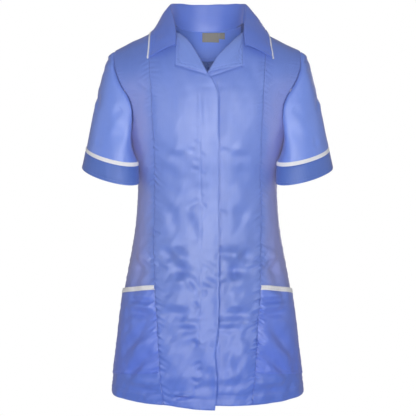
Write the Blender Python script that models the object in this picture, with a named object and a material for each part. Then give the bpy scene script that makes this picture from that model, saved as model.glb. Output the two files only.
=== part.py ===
"""A short-sleeved revere collar tunic, hollow and filled out as it is worn.

Metres, +Z up. The front faces -Y and the wearer's left is +X. The origin is on the centre line, at the
height of the neck seam. Every cut piece is one closed wall of cloth, and SEAM parts it from its neighbours.

The body is one smooth form, skin(level, turn). Below the bust a level is a height. Above it a row sags
from the neck to the shoulder tip, and its level is the height that it has on the centre line. A turn goes
round the body: 0 at the centre front, a quarter at the side, a half at the centre back, negative on the
wearer's right.
"""

import math
from collections import namedtuple

import bpy
import numpy as np

# Cloth
SEAM = 0.0003  # gap between sewn pieces
CLOTH = 0.0012  # wall of a single layer
DOUBLE = 0.0016  # wall of a collar or a rever, two layers with interfacing
TRIM = 0.0018  # wall of the white bands and bindings
TAPE = 0.0008  # wall of the labels and the zip tape
EASE = 0.0008  # least air between two layers that lie on each other

# Body
HEM = -0.744
BUST = -0.222  # bust line, and the lowest point of the armholes
RIDGE = 0.041  # height that the shoulder line would reach on the centre line
SLOPE = 0.5  # fall of the shoulder line
RIDGE_ROUND = 0.03
FULLNESS = 2 / 2.3  # power of the sine and cosine round a section
FRONT_RISE = (1.8, 0.5525)  # powers that round the chest up to the shoulder
BACK_RISE = (3.0, 0.5)
ARM_OPEN = math.radians(34)  # half angle of the armhole, seen from above
ARM_FULL = 0.4  # share of the rise at which the armhole is fully open
NECK = 0.0715  # half width of the neck
NECK_BACK = 0.0057  # height of the neck seam at the centre back
BACK_SPLIT = math.radians(36)  # turn at which the two stretches of a back row meet, low down
DIP_HIGH = 1.2  # power that holds a row's fall toward the side seam back
QUARTER = math.pi / 2

# Measuring
PATH_STEPS = 49  # even steps along a path whose length is worked out
NUDGE = 1e-5  # step in level and turn that finds a normal
HALVINGS = 30

# Rows and columns of the faceted walls
UPPER_ROWS = 12
WAIST_ROWS = 9
FRONT_COLUMNS = 6
SIDE_COLUMNS = 6
BACK_COLUMNS = (3, 4)  # centre back to neck point, neck point to side
SLEEVE_STEPS = (0, 0.06, 0.16, 0.35, 0.62, 1)
RING = 2 * UPPER_ROWS
COLLAR_STEPS = 24
ARC_STEPS = 4  # points round the collar's fold
REVER_STEPS = 6
FACING_ROWS, FACING_COLUMNS = 3, 10
LABEL_ROWS, LABEL_COLUMNS = 2, 3

# Fastening
LAP = 0.0034  # depth of the under front below the over front
LAP_FROM = 0.026
LAP_TO = 0.058
ZIP_TOP = -0.15
ZIP_FOOT = -0.66
ZIP_HALF = 0.0135
HEM_DIP = 0.0085  # the over front's corner hangs lower

# Pockets
POCKET_FOOT = -0.680
POCKET_MOUTH = -0.5165
BINDING_TOP = -0.507
POCKET_STAND = 0.0022  # how far the mouth stands off the panel
SEAM_STAND = 0.2  # share of it beside the seams, below the mouth
MOUTH_STAND = 0.35  # share of it at the mouth's front end
MOUTH_LATE = 5  # power that keeps the mouth's own shape near the mouth

# Sleeves
CUFF_TURN = math.radians(30)  # turn of the long axis of a sleeve ring
RING_START = math.radians(20)
RING_RISE_X = 0.190  # a cuff's outer side is higher
RING_RISE_Y = 0.240  # a cuff's front is lower
CLEAR = 0.004  # air between sleeve and body
CLEAR_TOP = 0.0012  # and beside the armhole
CLEAR_FROM = 0.6  # share of the sleeve's length from which it has its full air
PANEL_MORE = 0.1  # turn past the armhole in which the sleeve still keeps its air
SLEEVE_GAP = 1.2 * SEAM
SWELL = 0.0045  # how far the sleeve swells between its seams
SWELL_TOP = 0.0055  # more of it over the arm, less under it
SWELL_HIGH = 0.45  # power that moves the swelling up
BAND_PROUD = 0.0004  # the white band stands this much above the sleeve

# Collar and revers
ROLL = 0.0026  # radius of the collar's fold
NECK_GAP = 0.0006  # the collar's stand starts just above the neck edge
SEAT_OUT = 0.004  # a tucked stand starts this far toward the opening
SEAT_ABOVE = 0.003  # and this far above the body
TUCK_LEAD, TUCK_SPAN = 0.18, 0.2  # shares of the collar over which its stand tucks under
LEAF_BOW = 0.002  # how far the fall bows out
GORGE = 0.35  # share of the roll line's rows that the collar's neck edge follows
TUCKED = 0.8  # share of the collar past which its neck edge is hidden under its fold
PIPING = 0.0042
PIPING_CREST = 0.6  # share of its width at which the piping starts to round off
PIPING_ROUND = (0.15, 0.2)  # shares of the collar's thickness that the rounding takes off, outside and inside
REVER_LIFT = 0.002  # how far a rever bows off the front
REVER_AIR = 1.6 * EASE
REVER_ENDS = (0.1, 0.9)  # shares of the bow's arc at the roll line and from there out
FACING_DEPTH = 0.062
FACING_ENDS = 0.012
FACING_SHORT = 0.004  # it ends this far before the neck point
FACING_IN = 0.0042  # from the body's outer surface in to the facing
LABEL_IN = 0.0074  # and in to the labels
LABEL_DOWN = 0.0015  # from the neck seam down to the labels
COLLAR_ABOVE = 0.0042  # from the body's outer surface up to the collar's

Section = namedtuple("Section", "level half_width front back")
SECTIONS = (
    Section(-0.760, 0.2000, 0.138, 0.129),
    Section(-0.710, 0.1955, 0.136, 0.127),
    Section(-0.640, 0.1868, 0.133, 0.124),
    Section(-0.570, 0.1775, 0.127, 0.119),
    Section(-0.505, 0.1665, 0.120, 0.113),
    Section(-0.450, 0.1562, 0.113, 0.106),
    Section(-0.400, 0.1477, 0.108, 0.099),
    Section(-0.340, 0.1428, 0.107, 0.096),
    Section(-0.300, 0.1425, 0.110, 0.098),
    Section(-0.260, 0.1485, 0.117, 0.102),
    Section(BUST, 0.1580, 0.121, 0.106),
)

# Where the armhole seam runs, from the underarm (0) to the shoulder tip (1)
Armhole = namedtuple("Armhole", "rise front_x back_x")
ARMHOLE = (
    Armhole(0.00, 0.1580, 0.1580),
    Armhole(0.10, 0.1535, 0.1600),
    Armhole(0.22, 0.1500, 0.1625),
    Armhole(0.35, 0.1520, 0.1655),
    Armhole(0.45, 0.1585, 0.1690),
    Armhole(0.60, 0.1740, 0.1765),
    Armhole(0.80, 0.1865, 0.1850),
    Armhole(1.00, 0.1890, 0.1890),
)

# How far a row sinks from the princess seam to the side seam
Dip = namedtuple("Dip", "level sink")
SIDE_DIP = (
    Dip(-0.760, -0.0075),
    Dip(HEM, -0.0075),
    Dip(POCKET_FOOT, 0.021),
    Dip(BINDING_TOP, 0.019),
    Dip(-0.360, 0.0),
    Dip(BUST, 0.0),
)

# Shoulder princess seam
Line = namedtuple("Line", "level x")
PRINCESS = (
    Line(-0.744, 0.0905),
    Line(-0.683, 0.0950),
    Line(-0.607, 0.0995),
    Line(-0.530, 0.1050),
    Line(-0.450, 0.1075),
    Line(-0.347, 0.1075),
    Line(-0.254, 0.1055),
    Line(-0.194, 0.1085),
    Line(-0.110, 0.1120),
    Line(-0.023, 0.1165),
    Line(RIDGE, 0.1165),
)

# Free edge of the over front
EDGE_OVER = (
    Line(-0.760, 0.0135),
    Line(-0.714, 0.0175),
    Line(-0.632, 0.0165),
    Line(-0.590, 0.0208),
    Line(-0.450, 0.0227),
    Line(-0.130, 0.0213),
    Line(-0.100, 0.0205),
)
EDGE_UNDER = -0.0180

# Edge of each front from the top of the fly, up the roll line to the neck point
Point = namedtuple("Point", "x z")
ROLL_OVER = (
    Point(0.0213, -0.1255),
    Point(0.0164, -0.1120),
    Point(0.0085, -0.0955),
    Point(-0.0040, -0.0820),
    Point(-0.0207, -0.0520),
    Point(-0.0414, -0.0220),
    Point(-0.0590, -0.0065),
    Point(-0.0655, 0.0060),
    Point(-0.0665, 0.0196),
)
ROLL_UNDER = (
    Point(-0.0180, -0.1255),
    Point(-0.0135, -0.1120),
    Point(-0.0060, -0.0960),
    Point(0.0030, -0.0840),
    Point(0.0230, -0.0530),
    Point(0.0480, -0.0275),
    Point(0.0690, -0.0065),
    Point(0.0755, 0.0060),
    Point(0.0765, 0.0147),
)

# Corners of the turned-back revers: at the gorge, the notch, the point and the break
REVER_RIGHT = (
    Point(-0.0580, -0.0085),
    Point(-0.0612, -0.0290),
    Point(-0.0622, -0.0706),
    Point(-0.0055, -0.0868),
)
REVER_LEFT = (
    Point(0.0680, -0.0085),
    Point(0.0690, -0.0330),
    Point(0.0697, -0.0716),
    Point(0.0105, -0.0895),
)

# Half of the collar from the centre back to the notch: its fold, its outer edge, and the way it opens.
# The two halves differ a little in width.
Leaf = namedtuple("Leaf", "left_roll right_roll roll_y roll_z left_edge right_edge edge_y edge_z turn")
COLLAR = (
    Leaf(0.0000, 0.0000, 0.0740, 0.0590, 0.0000, 0.0000, 0.0940, -0.0060, 90),
    Leaf(0.0348, 0.0322, 0.0690, 0.0592, 0.0448, 0.0412, 0.0890, -0.0060, 75),
    Leaf(0.0647, 0.0625, 0.0500, 0.0592, 0.0847, 0.0800, 0.0660, -0.0040, 45),
    Leaf(0.0795, 0.0765, 0.0200, 0.0540, 0.1140, 0.1050, 0.0250, 0.0050, 8),
    Leaf(0.0778, 0.0712, -0.0120, 0.0300, 0.1233, 0.1137, -0.0110, -0.0035, -4),
    Leaf(0.0752, 0.0653, -0.0480, 0.0020, 0.1267, 0.1163, -0.0440, -0.0300, -6),
    Leaf(0.0760, 0.0640, -0.0790, -0.0290, 0.1300, 0.1180, -0.0660, -0.0550, -8),
)

# Rings of the left sleeve: height and place of the centre, and the two half axes
Ring = namedtuple("Ring", "x y z long short")
BAND_TOP = Ring(0.1915, -0.036, -0.2468, 0.0575, 0.0430)
BAND_FOOT = Ring(0.1920, -0.036, -0.2546, 0.0585, 0.0435)
CUFF_FOOT = Ring(0.1955, -0.038, -0.2906, 0.0635, 0.0455)

# The labels: their two sides and how far they hang
Label = namedtuple("Label", "left right height")
MAIN_LABEL = Label(-0.0114, 0.0250, 0.0195)
SIZE_LABEL = Label(0.0256, 0.0378, 0.0125)

Finish = namedtuple("Finish", "colour roughness")
BLUE = Finish((0.190, 0.270, 0.640), 0.55)
WHITE = Finish((0.740, 0.740, 0.770), 0.60)
LABEL = Finish((0.210, 0.200, 0.195), 0.70)


# ---------------------------------------------------------------- numbers


def mix(a, b, share):
    return a + (b - a) * share


def ease(share):
    """0 to 1 with flat ends."""
    share = min(max(share, 0.0), 1.0)
    return share * share * (3 - 2 * share)


def unit(vector):
    return vector / np.linalg.norm(vector)


def column(table, at, name):
    """Smooth value of one column of a table, whose first column rises."""
    keys = [row[0] for row in table]
    values = [getattr(row, name) for row in table]
    at = min(max(at, keys[0]), keys[-1])
    i = min(max(np.searchsorted(keys, at) - 1, 0), len(keys) - 2)

    def slope(k):
        lo, hi = max(k - 1, 0), min(k + 1, len(keys) - 1)
        return (values[hi] - values[lo]) / (keys[hi] - keys[lo])

    span = keys[i + 1] - keys[i]
    s = (at - keys[i]) / span
    start, end = slope(i) * span, slope(i + 1) * span
    rise = values[i + 1] - values[i]
    return values[i] + s * (start + s * ((3 * rise - 2 * start - end) + s * (start + end - 2 * rise)))


def along(points, share):
    """Point at a share of the length of a smooth curve through the points."""
    points = np.array(points, float)
    runs = np.concatenate([[0], np.cumsum(np.linalg.norm(np.diff(points, axis=0), axis=1))])
    row = namedtuple("Stop", "run value")
    stops = [[row(r, p[k]) for r, p in zip(runs, points)] for k in range(points.shape[1])]
    return np.array([column(s, share * runs[-1], "value") for s in stops])


def spaced(path, pieces, start_gap=SEAM / 2, end_gap=SEAM / 2):
    """Parameters from 0 to 1 that cut a path into pieces of even length, short of its ends."""
    steps = np.linspace(0, 1, PATH_STEPS)
    points = np.array([path(t) for t in steps])
    runs = np.concatenate([[0], np.cumsum(np.linalg.norm(np.diff(points, axis=0), axis=1))])
    marks = np.linspace(start_gap, runs[-1] - end_gap, pieces + 1)
    return np.interp(marks, runs, steps)


# ---------------------------------------------------------------- body form


def shoulder(x):
    """Height of the shoulder line."""
    return RIDGE - SLOPE * (math.hypot(x, RIDGE_ROUND) - RIDGE_ROUND)


def rise_of(level):
    return (level - BUST) / (RIDGE - BUST)


def level_at(rise):
    return BUST + rise * (RIDGE - BUST)


def power(value):
    return math.copysign(abs(value) ** FULLNESS, value)


def arm_turn(level):
    """Turn, from the centre front, at which a row meets the armhole seam."""
    short = max(1 - rise_of(level) / ARM_FULL, 0.0)
    return QUARTER - ARM_OPEN * math.sqrt(max(1 - short * short, 0.0))


def half_width(level, back):
    """Half width of the whole section; above the bust it runs on under the arm."""
    if level <= BUST:
        return column(SECTIONS, level, "half_width")
    seam_x = column(ARMHOLE, rise_of(level), "back_x" if back else "front_x")
    return seam_x / power(math.sin(arm_turn(level)))


def depth(level, back):
    name, (first, second) = ("back", BACK_RISE) if back else ("front", FRONT_RISE)
    full = column(SECTIONS, min(level, BUST), name)
    rise = min(max(rise_of(level), 0.0), 1.0)
    return full * (1 - rise**first) ** second


def skin(level, turn):
    """Point of the body's outer surface."""
    back = abs(turn) > QUARTER
    x = half_width(level, back) * power(math.sin(turn))
    y = -depth(level, back) * power(math.cos(turn))
    z = level if level <= BUST else mix(BUST, shoulder(x), rise_of(level))
    return np.array([x, y, z])


def facing(level, turn):
    """Outward normal of the body's surface."""
    low = level - NUDGE
    down = skin(level, turn) - skin(low, turn)
    round_body = skin(low, turn + NUDGE) - skin(low, turn - NUDGE)
    normal = unit(np.cross(round_body, down))
    here = skin(level, turn)
    middle = np.array([0, 0, min(here[2], BUST)])
    return normal if normal @ (here - middle) > 0 else -normal


def locate(x, z, back=False):
    """Level and turn of the point of the body with this x and z."""
    level = z if z <= BUST else level_at((z - BUST) / (shoulder(x) - BUST))
    sine = (abs(x) / half_width(level, back)) ** (1 / FULLNESS)
    turn = math.copysign(math.asin(min(sine, 1.0)), x)
    return level, (math.pi - turn if back and x >= 0 else -math.pi - turn if back else turn)


def turn_at(level, x):
    """Turn of a point on the front with this level and x."""
    sine = (abs(x) / half_width(level, False)) ** (1 / FULLNESS)
    return math.copysign(math.asin(min(sine, 1.0)), x)


def upper_levels():
    """Levels from the bust to the shoulder, closest at both ends."""
    return [level_at((1 - math.cos(math.pi * k / UPPER_ROWS)) / 2) for k in range(UPPER_ROWS + 1)]


def lower_levels():
    """Levels from the hem to just below the bust, with rows on the pocket's edges."""
    spans = ((HEM, POCKET_FOOT, 2), (POCKET_FOOT, POCKET_MOUTH, 5), (POCKET_MOUTH, BINDING_TOP, 1))
    rows = [mix(a, b, k / n) for a, b, n in spans for k in range(n)]
    return rows + [mix(BINDING_TOP, BUST, k / WAIST_ROWS) for k in range(WAIST_ROWS)]


LEVELS = lower_levels() + upper_levels()


# ---------------------------------------------------------------- walls


def material(name, finish):
    made = bpy.data.materials.new(name)
    made.use_nodes = True
    shader = made.node_tree.nodes["Principled BSDF"]
    shader.inputs["Base Color"].default_value = (*finish.colour, 1)
    shader.inputs["Roughness"].default_value = finish.roughness
    shader.inputs["Metallic"].default_value = 0.0
    return made


def wall(name, outer, inner, finish, closed=False):
    """One closed body between two grids of points, [row][column]; closed joins the last column to the first."""
    outer, inner = np.array(outer), np.array(inner)
    rows, columns = outer.shape[:2]
    count = rows * columns
    points = np.concatenate([outer.reshape(-1, 3), inner.reshape(-1, 3)])
    last = columns if closed else columns - 1

    def at(side, i, j):
        return side * count + i * columns + j % columns

    faces = []
    for i in range(rows - 1):
        for j in range(last):
            a, b, c, d = at(0, i, j), at(0, i, j + 1), at(0, i + 1, j + 1), at(0, i + 1, j)
            faces += [(a, b, c), (a, c, d), (a + count, c + count, b + count), (a + count, d + count, c + count)]
    for j in range(last):
        faces.append((at(1, 0, j), at(1, 0, j + 1), at(0, 0, j + 1), at(0, 0, j)))
        faces.append((at(0, rows - 1, j), at(0, rows - 1, j + 1), at(1, rows - 1, j + 1), at(1, rows - 1, j)))
    if not closed:
        for i in range(rows - 1):
            faces.append((at(0, i, 0), at(0, i + 1, 0), at(1, i + 1, 0), at(1, i, 0)))
            end = columns - 1
            faces.append((at(1, i, end), at(1, i + 1, end), at(0, i + 1, end), at(0, i, end)))
    mesh = bpy.data.meshes.new(name)
    mesh.from_pydata([tuple(p) for p in points], [], faces)
    made = bpy.data.objects.new(name, mesh)
    bpy.context.scene.collection.objects.link(made)
    turn_outward(mesh)
    mesh.materials.append(material(name, finish))
    return made


def turn_outward(mesh):
    """Flips a closed mesh whose faces point in."""
    mesh.calc_loop_triangles()
    points = np.array([v.co for v in mesh.vertices])
    corners = points[np.array([t.vertices for t in mesh.loop_triangles])]
    volume = np.einsum("ij,ij->i", corners[:, 0], np.cross(corners[:, 1], corners[:, 2])).sum()
    if volume < 0:
        mesh.flip_normals()
    mesh.update()


def panel(rows, pieces, lift=lambda place: 0.0):
    """Points and normals of a panel. A row is a path from 0 to 1 that gives (level, turn)."""
    points, normals = [], []
    for path in rows:
        shares = spaced(lambda t: skin(*path(t)), pieces)
        places = [path(t) for t in shares]
        faces = [facing(*place) for place in places]
        points.append([skin(*place) + lift(place) * face for place, face in zip(places, faces)])
        normals.append(faces)
    return np.array(points), np.array(normals)


def part_shoulder(points, normals, back):
    """Parts the top row of a panel from the shoulder line, and stands its edge upright."""
    for k, point in enumerate(points[-1]):
        if abs(point[1]) < SEAM:
            point[1] = SEAM / 2 if back else -SEAM / 2
            tilt = SLOPE * point[0] / math.hypot(point[0], RIDGE_ROUND)
            normals[-1][k] = unit(np.array([tilt, 0, 1.0]))


# ---------------------------------------------------------------- fronts


def seam_turn(level):
    return turn_at(level, column(PRINCESS, level, "x"))


def front_rows(side, roll, edge_x, dip):
    """Rows of a centre front from its free edge or roll line to the princess seam."""
    first_rolled = next(k for k, level in enumerate(LEVELS) if level > roll[0].z)
    base = rise_of(LEVELS[first_rolled - 1])

    def row(k):
        level = LEVELS[k]
        end = side * seam_turn(level)
        if k < first_rolled:
            sag = dip if k == 0 else 0.0
            start_level, start = level - sag, turn_at(level, edge_x(level))
        else:
            share = (rise_of(level) - base) / (1 - base)
            start_level, start = locate(*along(roll, share))
            if k == len(LEVELS) - 1:
                start_level = level
        return lambda t: (mix(start_level, level, ease(t)), mix(start, end, t))

    return [row(k) for k in range(len(LEVELS))]


def lap_lift(place):
    """The under front dips below the over front."""
    x = skin(*place)[0]
    return -LAP * (1 - ease((x - LAP_FROM) / (LAP_TO - LAP_FROM)))


def fronts():
    """Both centre fronts. Hands back the roll line of each, from the top of the fly to the neck point."""
    over = front_rows(-1, ROLL_OVER, lambda level: column(EDGE_OVER, level, "x"), HEM_DIP)
    points, normals = panel(over, FRONT_COLUMNS)
    part_shoulder(points, normals, False)
    wall("front_right", points, points - CLOTH * normals, BLUE)
    rolls = {"right": points[-UPPER_ROWS:, 0]}
    under = front_rows(1, ROLL_UNDER, lambda level: EDGE_UNDER, 0.0)
    points, normals = panel(under, FRONT_COLUMNS, lap_lift)
    part_shoulder(points, normals, False)
    rolls["left"] = points[-UPPER_ROWS:, 0]
    wall("front_left", points, points - CLOTH * normals, BLUE)
    return rolls


def zip_tape():
    levels = [level for level in LEVELS if ZIP_FOOT < level < ZIP_TOP]

    def row(level):
        ends = [turn_at(level, x) for x in (-ZIP_HALF, ZIP_HALF)]
        return lambda t: (level, mix(*ends, t))

    points, normals = panel([row(level) for level in levels], 2, lambda place: -CLOTH - EASE / 2)
    wall("zip_tape", points, points - TAPE * normals, WHITE)


# ---------------------------------------------------------------- sides and back


def dipped(level, share):
    """Level of a row at a share of the way from the princess seam to the side seam."""
    return level - column(SIDE_DIP, min(level, BUST), "sink") * share**DIP_HIGH


def side_row(level, side):
    start, end = seam_turn(level), QUARTER if level <= BUST else arm_turn(level)
    return lambda t: (dipped(level, t), side * mix(start, end, t))


def side_fronts():
    for name, side in (("right", -1), ("left", 1)):
        points, normals = panel([side_row(level, side) for level in LEVELS], SIDE_COLUMNS)
        part_shoulder(points, normals, False)
        wall(f"side_front_{name}", points, points - CLOTH * normals, BLUE)
        pocket(name, points, normals)


def pocket(name, panel_points, normals):
    """A patch on the side front's own points, moved out, with its binding above it."""
    foot, mouth = LEVELS.index(POCKET_FOOT), LEVELS.index(POCKET_MOUTH)
    lift = []
    for k in range(foot, mouth + 2):
        up = (k - foot) / (mouth - foot)
        across = np.linspace(0, 1, SIDE_COLUMNS + 1)
        low, high = mix(SEAM_STAND, 1, np.sin(math.pi * across)), mix(MOUTH_STAND, 1, across)
        stand = POCKET_STAND * ease(up) * mix(low, high, min(up, 1) ** MOUTH_LATE)
        lift.append(CLOTH + EASE / 2 + stand)
    rows = slice(foot, mouth + 2)
    outer = panel_points[rows] + np.array(lift)[..., None] * normals[rows]
    inner = outer - CLOTH * normals[rows]
    patch, patch_inner = outer[:-1].copy(), inner[:-1].copy()
    wall(f"pocket_{name}", patch, patch_inner, BLUE)
    gap = SEAM / np.linalg.norm(outer[-1, 0] - outer[-2, 0])
    bottom = mix(outer[-2], outer[-1], gap)
    bottom_inner = mix(inner[-2], inner[-1], gap)
    proud = (TRIM - CLOTH) * normals[mouth]
    top_proud = (TRIM - CLOTH) * normals[mouth + 1]
    wall(
        f"pocket_binding_{name}",
        [bottom + proud, outer[-1] + top_proud],
        [bottom_inner, inner[-1]],
        WHITE,
    )


def neck_back(x):
    """Height of the back neckline."""
    return mix(NECK_BACK, shoulder(NECK), min(abs(x) / NECK, 1.0) ** 3)


def back_top(turn):
    """Share of the full rise that the back panel reaches at this turn from the centre back."""
    x = half_width(RIDGE, True) * power(math.sin(turn))
    if x >= NECK:
        return 1.0
    return (neck_back(x) - BUST) / (shoulder(x) - BUST)


def back_rows(side):
    """Two stretches of each back row: centre back to below the neck point, and on to the side."""
    neck_turn = math.asin((NECK / half_width(RIDGE, True)) ** (1 / FULLNESS))

    def row(level, first, last):
        rise = max(rise_of(level), 0.0)
        middle = mix(BACK_SPLIT, neck_turn, rise)
        stops = (0.0, middle, QUARTER if level <= BUST else arm_turn(level))

        def path(t):
            turn = mix(stops[first], stops[last], t)
            here = dipped(level, turn / stops[2])
            if level > BUST:
                here = level_at(rise * mix(1, back_top(turn), rise))
            return here, side * (math.pi - turn)

        return path

    return [[row(level, k, k + 1) for level in LEVELS] for k in range(2)]


def backs():
    """Both halves of the back. Hands back the top row of each, from the centre back to the shoulder tip."""
    tops = {}
    for name, side in (("right", -1), ("left", 1)):
        halves = [panel(rows, n) for rows, n in zip(back_rows(side), BACK_COLUMNS)]
        (points, normals), (more, more_normals) = halves
        middle = (points[:, -1:] + more[:, :1]) / 2
        points = np.concatenate([points[:, :-1], middle, more[:, 1:]], axis=1)
        normals = np.concatenate([normals, more_normals[:, 1:]], axis=1)
        part_shoulder(points, normals, True)
        wall(f"back_{name}", points, points - CLOTH * normals, BLUE)
        tops[name] = points[-1]
    return tops


# ---------------------------------------------------------------- sleeves


def armhole_ring():
    """Left armhole seam from the shoulder tip down the front to the underarm and up the back."""
    levels = upper_levels()
    places = [(level, arm_turn(level)) for level in reversed(levels)]
    places += [(level, math.pi - arm_turn(level)) for level in levels[1:-1]]
    points = np.array([skin(*place) for place in places])
    normals = np.array([facing(*place) for place in places])
    normals[0] = unit(np.array([SLOPE, 0, 1.0]))
    normals[UPPER_ROWS] = np.array([1.0, 0, 0])
    around = np.roll(points, -1, axis=0) - np.roll(points, 1, axis=0)
    away = np.cross(around, normals)
    away /= np.linalg.norm(away, axis=1)[:, None]
    toward = np.sign(np.einsum("ij,ij->i", away, points.mean(0) - points))
    return points, normals, away * toward[:, None]


def ring_points(ring):
    """Points of a turned ellipse, with the seam's own numbering."""
    made = []
    for k in range(RING):
        angle = RING_START + 2 * math.pi * k / RING
        long, short = ring.long * math.cos(angle), ring.short * math.sin(angle)
        dx = long * math.cos(CUFF_TURN) + short * math.sin(CUFF_TURN)
        dy = long * math.sin(CUFF_TURN) - short * math.cos(CUFF_TURN)
        made.append([ring.x + dx, ring.y + dy, ring.z + RING_RISE_X * dx + RING_RISE_Y * dy])
    return np.array(made)


def clear_of_body(point, gap):
    """Moves a point of the left sleeve off the body, where the body's panels lie behind it."""
    x, y, z = point
    back = y > 0
    level = z if z <= BUST else level_at((z - BUST) / (shoulder(x) - BUST))
    width, deep = half_width(level, back) + gap, depth(level, back) + gap
    across, out = (x / width) ** (1 / FULLNESS), (abs(y) / deep) ** (1 / FULLNESS)
    size = math.hypot(across, out)
    over_panel = level <= BUST or math.atan2(across, out) < arm_turn(level) + PANEL_MORE
    if size >= 1 or not over_panel:
        return point
    scale = size**-FULLNESS
    return np.array([x * scale, y * scale, z])


def tube_normals(rings):
    """Outward normals of a stack of rings."""
    rings = np.array(rings)
    around = np.roll(rings, -1, axis=1) - np.roll(rings, 1, axis=1)
    down = np.gradient(rings, axis=0)
    normals = np.cross(around, down)
    normals /= np.linalg.norm(normals, axis=2)[..., None]
    outward = rings - rings.mean(axis=1, keepdims=True)
    sign = np.sign(np.einsum("ijk,ijk->ij", normals, outward))
    return normals * sign[..., None]


def sleeve_rings():
    """Rings of the left sleeve from the armhole to the white band, and their normals."""
    seam, seam_normals, away = armhole_ring()
    foot = ring_points(BAND_TOP)
    top = np.array([math.cos(2 * math.pi * k / RING) for k in range(RING)])
    swell = SWELL + SWELL_TOP * top
    down = foot - seam
    down /= np.linalg.norm(down, axis=1)[:, None]
    rings = []
    for t in SLEEVE_STEPS:
        ring = mix(seam, foot, t)
        out = ring - ring.mean(axis=0)
        out -= (out * down).sum(axis=1)[:, None] * down
        out /= np.linalg.norm(out, axis=1)[:, None]
        ring = ring + out * (swell * math.sin(math.pi * t**SWELL_HIGH))[:, None]
        gap = mix(CLEAR_TOP, CLEAR, ease(t / CLEAR_FROM))
        rings.append(seam if t == 0 else [clear_of_body(p, gap) for p in ring])
    rings = np.array(rings)
    normals = tube_normals(rings)
    for k in range(RING):
        own = normals[0, k]
        normals[0, k] = unit(own - max(own @ away[k], 0) * away[k])
        fold = max(1 - own @ seam_normals[k], 0)
        rings[0, k] = seam[k] + SLEEVE_GAP * unit(away[k] + fold * seam_normals[k])
    return rings, normals


def mirrored(points, side):
    return np.array(points) * np.array([side, 1, 1])


def ring_stack(upper, lower, steps):
    rings = [mix(ring_points(upper), ring_points(lower), k / steps) for k in range(steps + 1)]
    return np.array([[clear_of_body(p, CLEAR) for p in ring] for ring in rings])


def parted(rings, top, foot):
    """Shortens a stack of rings by the seam's gap at its top or foot."""
    rings = rings.copy()
    if top:
        rings[0] = rings[0] + SEAM * unit(rings[1].mean(0) - rings[0].mean(0))
    if foot:
        rings[-1] = rings[-1] - SEAM * unit(rings[-1].mean(0) - rings[-2].mean(0))
    return rings


def sleeves():
    sleeve, sleeve_normals = sleeve_rings()
    band = ring_stack(BAND_TOP, BAND_FOOT, 1)
    cuff = ring_stack(BAND_FOOT, CUFF_FOOT, 2)
    band_normals, cuff_normals = tube_normals(band), tube_normals(cuff)
    sleeve_normals[-1] = band_normals[0]
    cuff_normals[0] = band_normals[1]
    stacks = (
        ("sleeve", sleeve, sleeve_normals, CLOTH, BLUE, 0),
        ("cuff_band", parted(band, True, True), band_normals, TRIM, WHITE, BAND_PROUD),
        ("cuff", cuff, cuff_normals, CLOTH, BLUE, 0),
    )
    for name, side in (("right", -1), ("left", 1)):
        for piece, rings, normals, thick, finish, proud in stacks:
            outer = mirrored(rings + proud * normals, side)
            inner = mirrored(rings + (proud - thick) * normals, side)
            wall(f"{piece}_{name}", outer, inner, finish, closed=True)


# ---------------------------------------------------------------- collar, revers and neck


def neck_curve(top, roll):
    """Half of the neckline, from the centre back over the neck point and down the roll line to the gorge."""
    gorge = GORGE * len(roll)
    return np.concatenate([top[: BACK_COLUMNS[0] + 1], roll[::-1][: int(gorge)]])


def on_chain(points, share):
    """Point at a share of the length of a chain of straight stretches."""
    runs = np.concatenate([[0], np.cumsum(np.linalg.norm(np.diff(points, axis=0), axis=1))])
    return np.array([np.interp(share * runs[-1], runs, points[:, k]) for k in range(3)])


def collar_stations(tops, rolls):
    """Neck edge, fold, outer edge and opening direction at even steps round the neck, right to left."""
    halves = []
    for name, side in (("left", 1), ("right", -1)):
        neck = neck_curve(tops[name], rolls[name])
        half = []
        for k in range(COLLAR_STEPS // 2 + 1):
            share = k / (COLLAR_STEPS // 2)
            place = [column_at(part, share) for part in (f"{name}_roll", "roll_y", "roll_z")]
            edge = [column_at(part, share) for part in (f"{name}_edge", "edge_y", "edge_z")]
            angle = math.radians(column_at("turn", share))
            open_way = np.array([side * math.cos(angle), math.sin(angle), 0])
            seam = on_chain(neck, min(share / TUCKED, 1.0))
            half.append((seam, mirrored(place, side), mirrored(edge, side), open_way))
        halves.append(half)
    left, right = halves
    return right[:0:-1] + left


def column_at(name, share):
    """Value of a collar column at a share of the way from the centre back to the notch."""
    rows = [namedtuple("Row", "at value")(k, getattr(leaf, name)) for k, leaf in enumerate(COLLAR)]
    return column(rows, share * (len(COLLAR) - 1), "value")


def rest_on_body(point, gap):
    """Moves a point up off the shoulder, away from the bust line below it, if it is nearer than the gap."""
    x, y, z = point
    if z < BUST:
        return point
    back = y > 0
    reach, angle = math.hypot(y, z - BUST), math.atan2(abs(y), z - BUST)
    low, high = 0.0, 1.0
    for _ in range(HALVINGS):
        rise = (low + high) / 2
        level = level_at(rise)
        sine = min(abs(x) / half_width(level, back), 1.0)
        out = depth(level, back) * (1 - sine ** (1 / FULLNESS * 2)) ** (FULLNESS / 2)
        tall = rise * (shoulder(x) - BUST)
        low, high = (low, rise) if math.atan2(out, tall) < angle else (rise, high)
    least = math.hypot(out, tall) + gap
    if reach >= least:
        return point
    return np.array([x, y * least / reach, BUST + (z - BUST) * least / reach])


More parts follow.
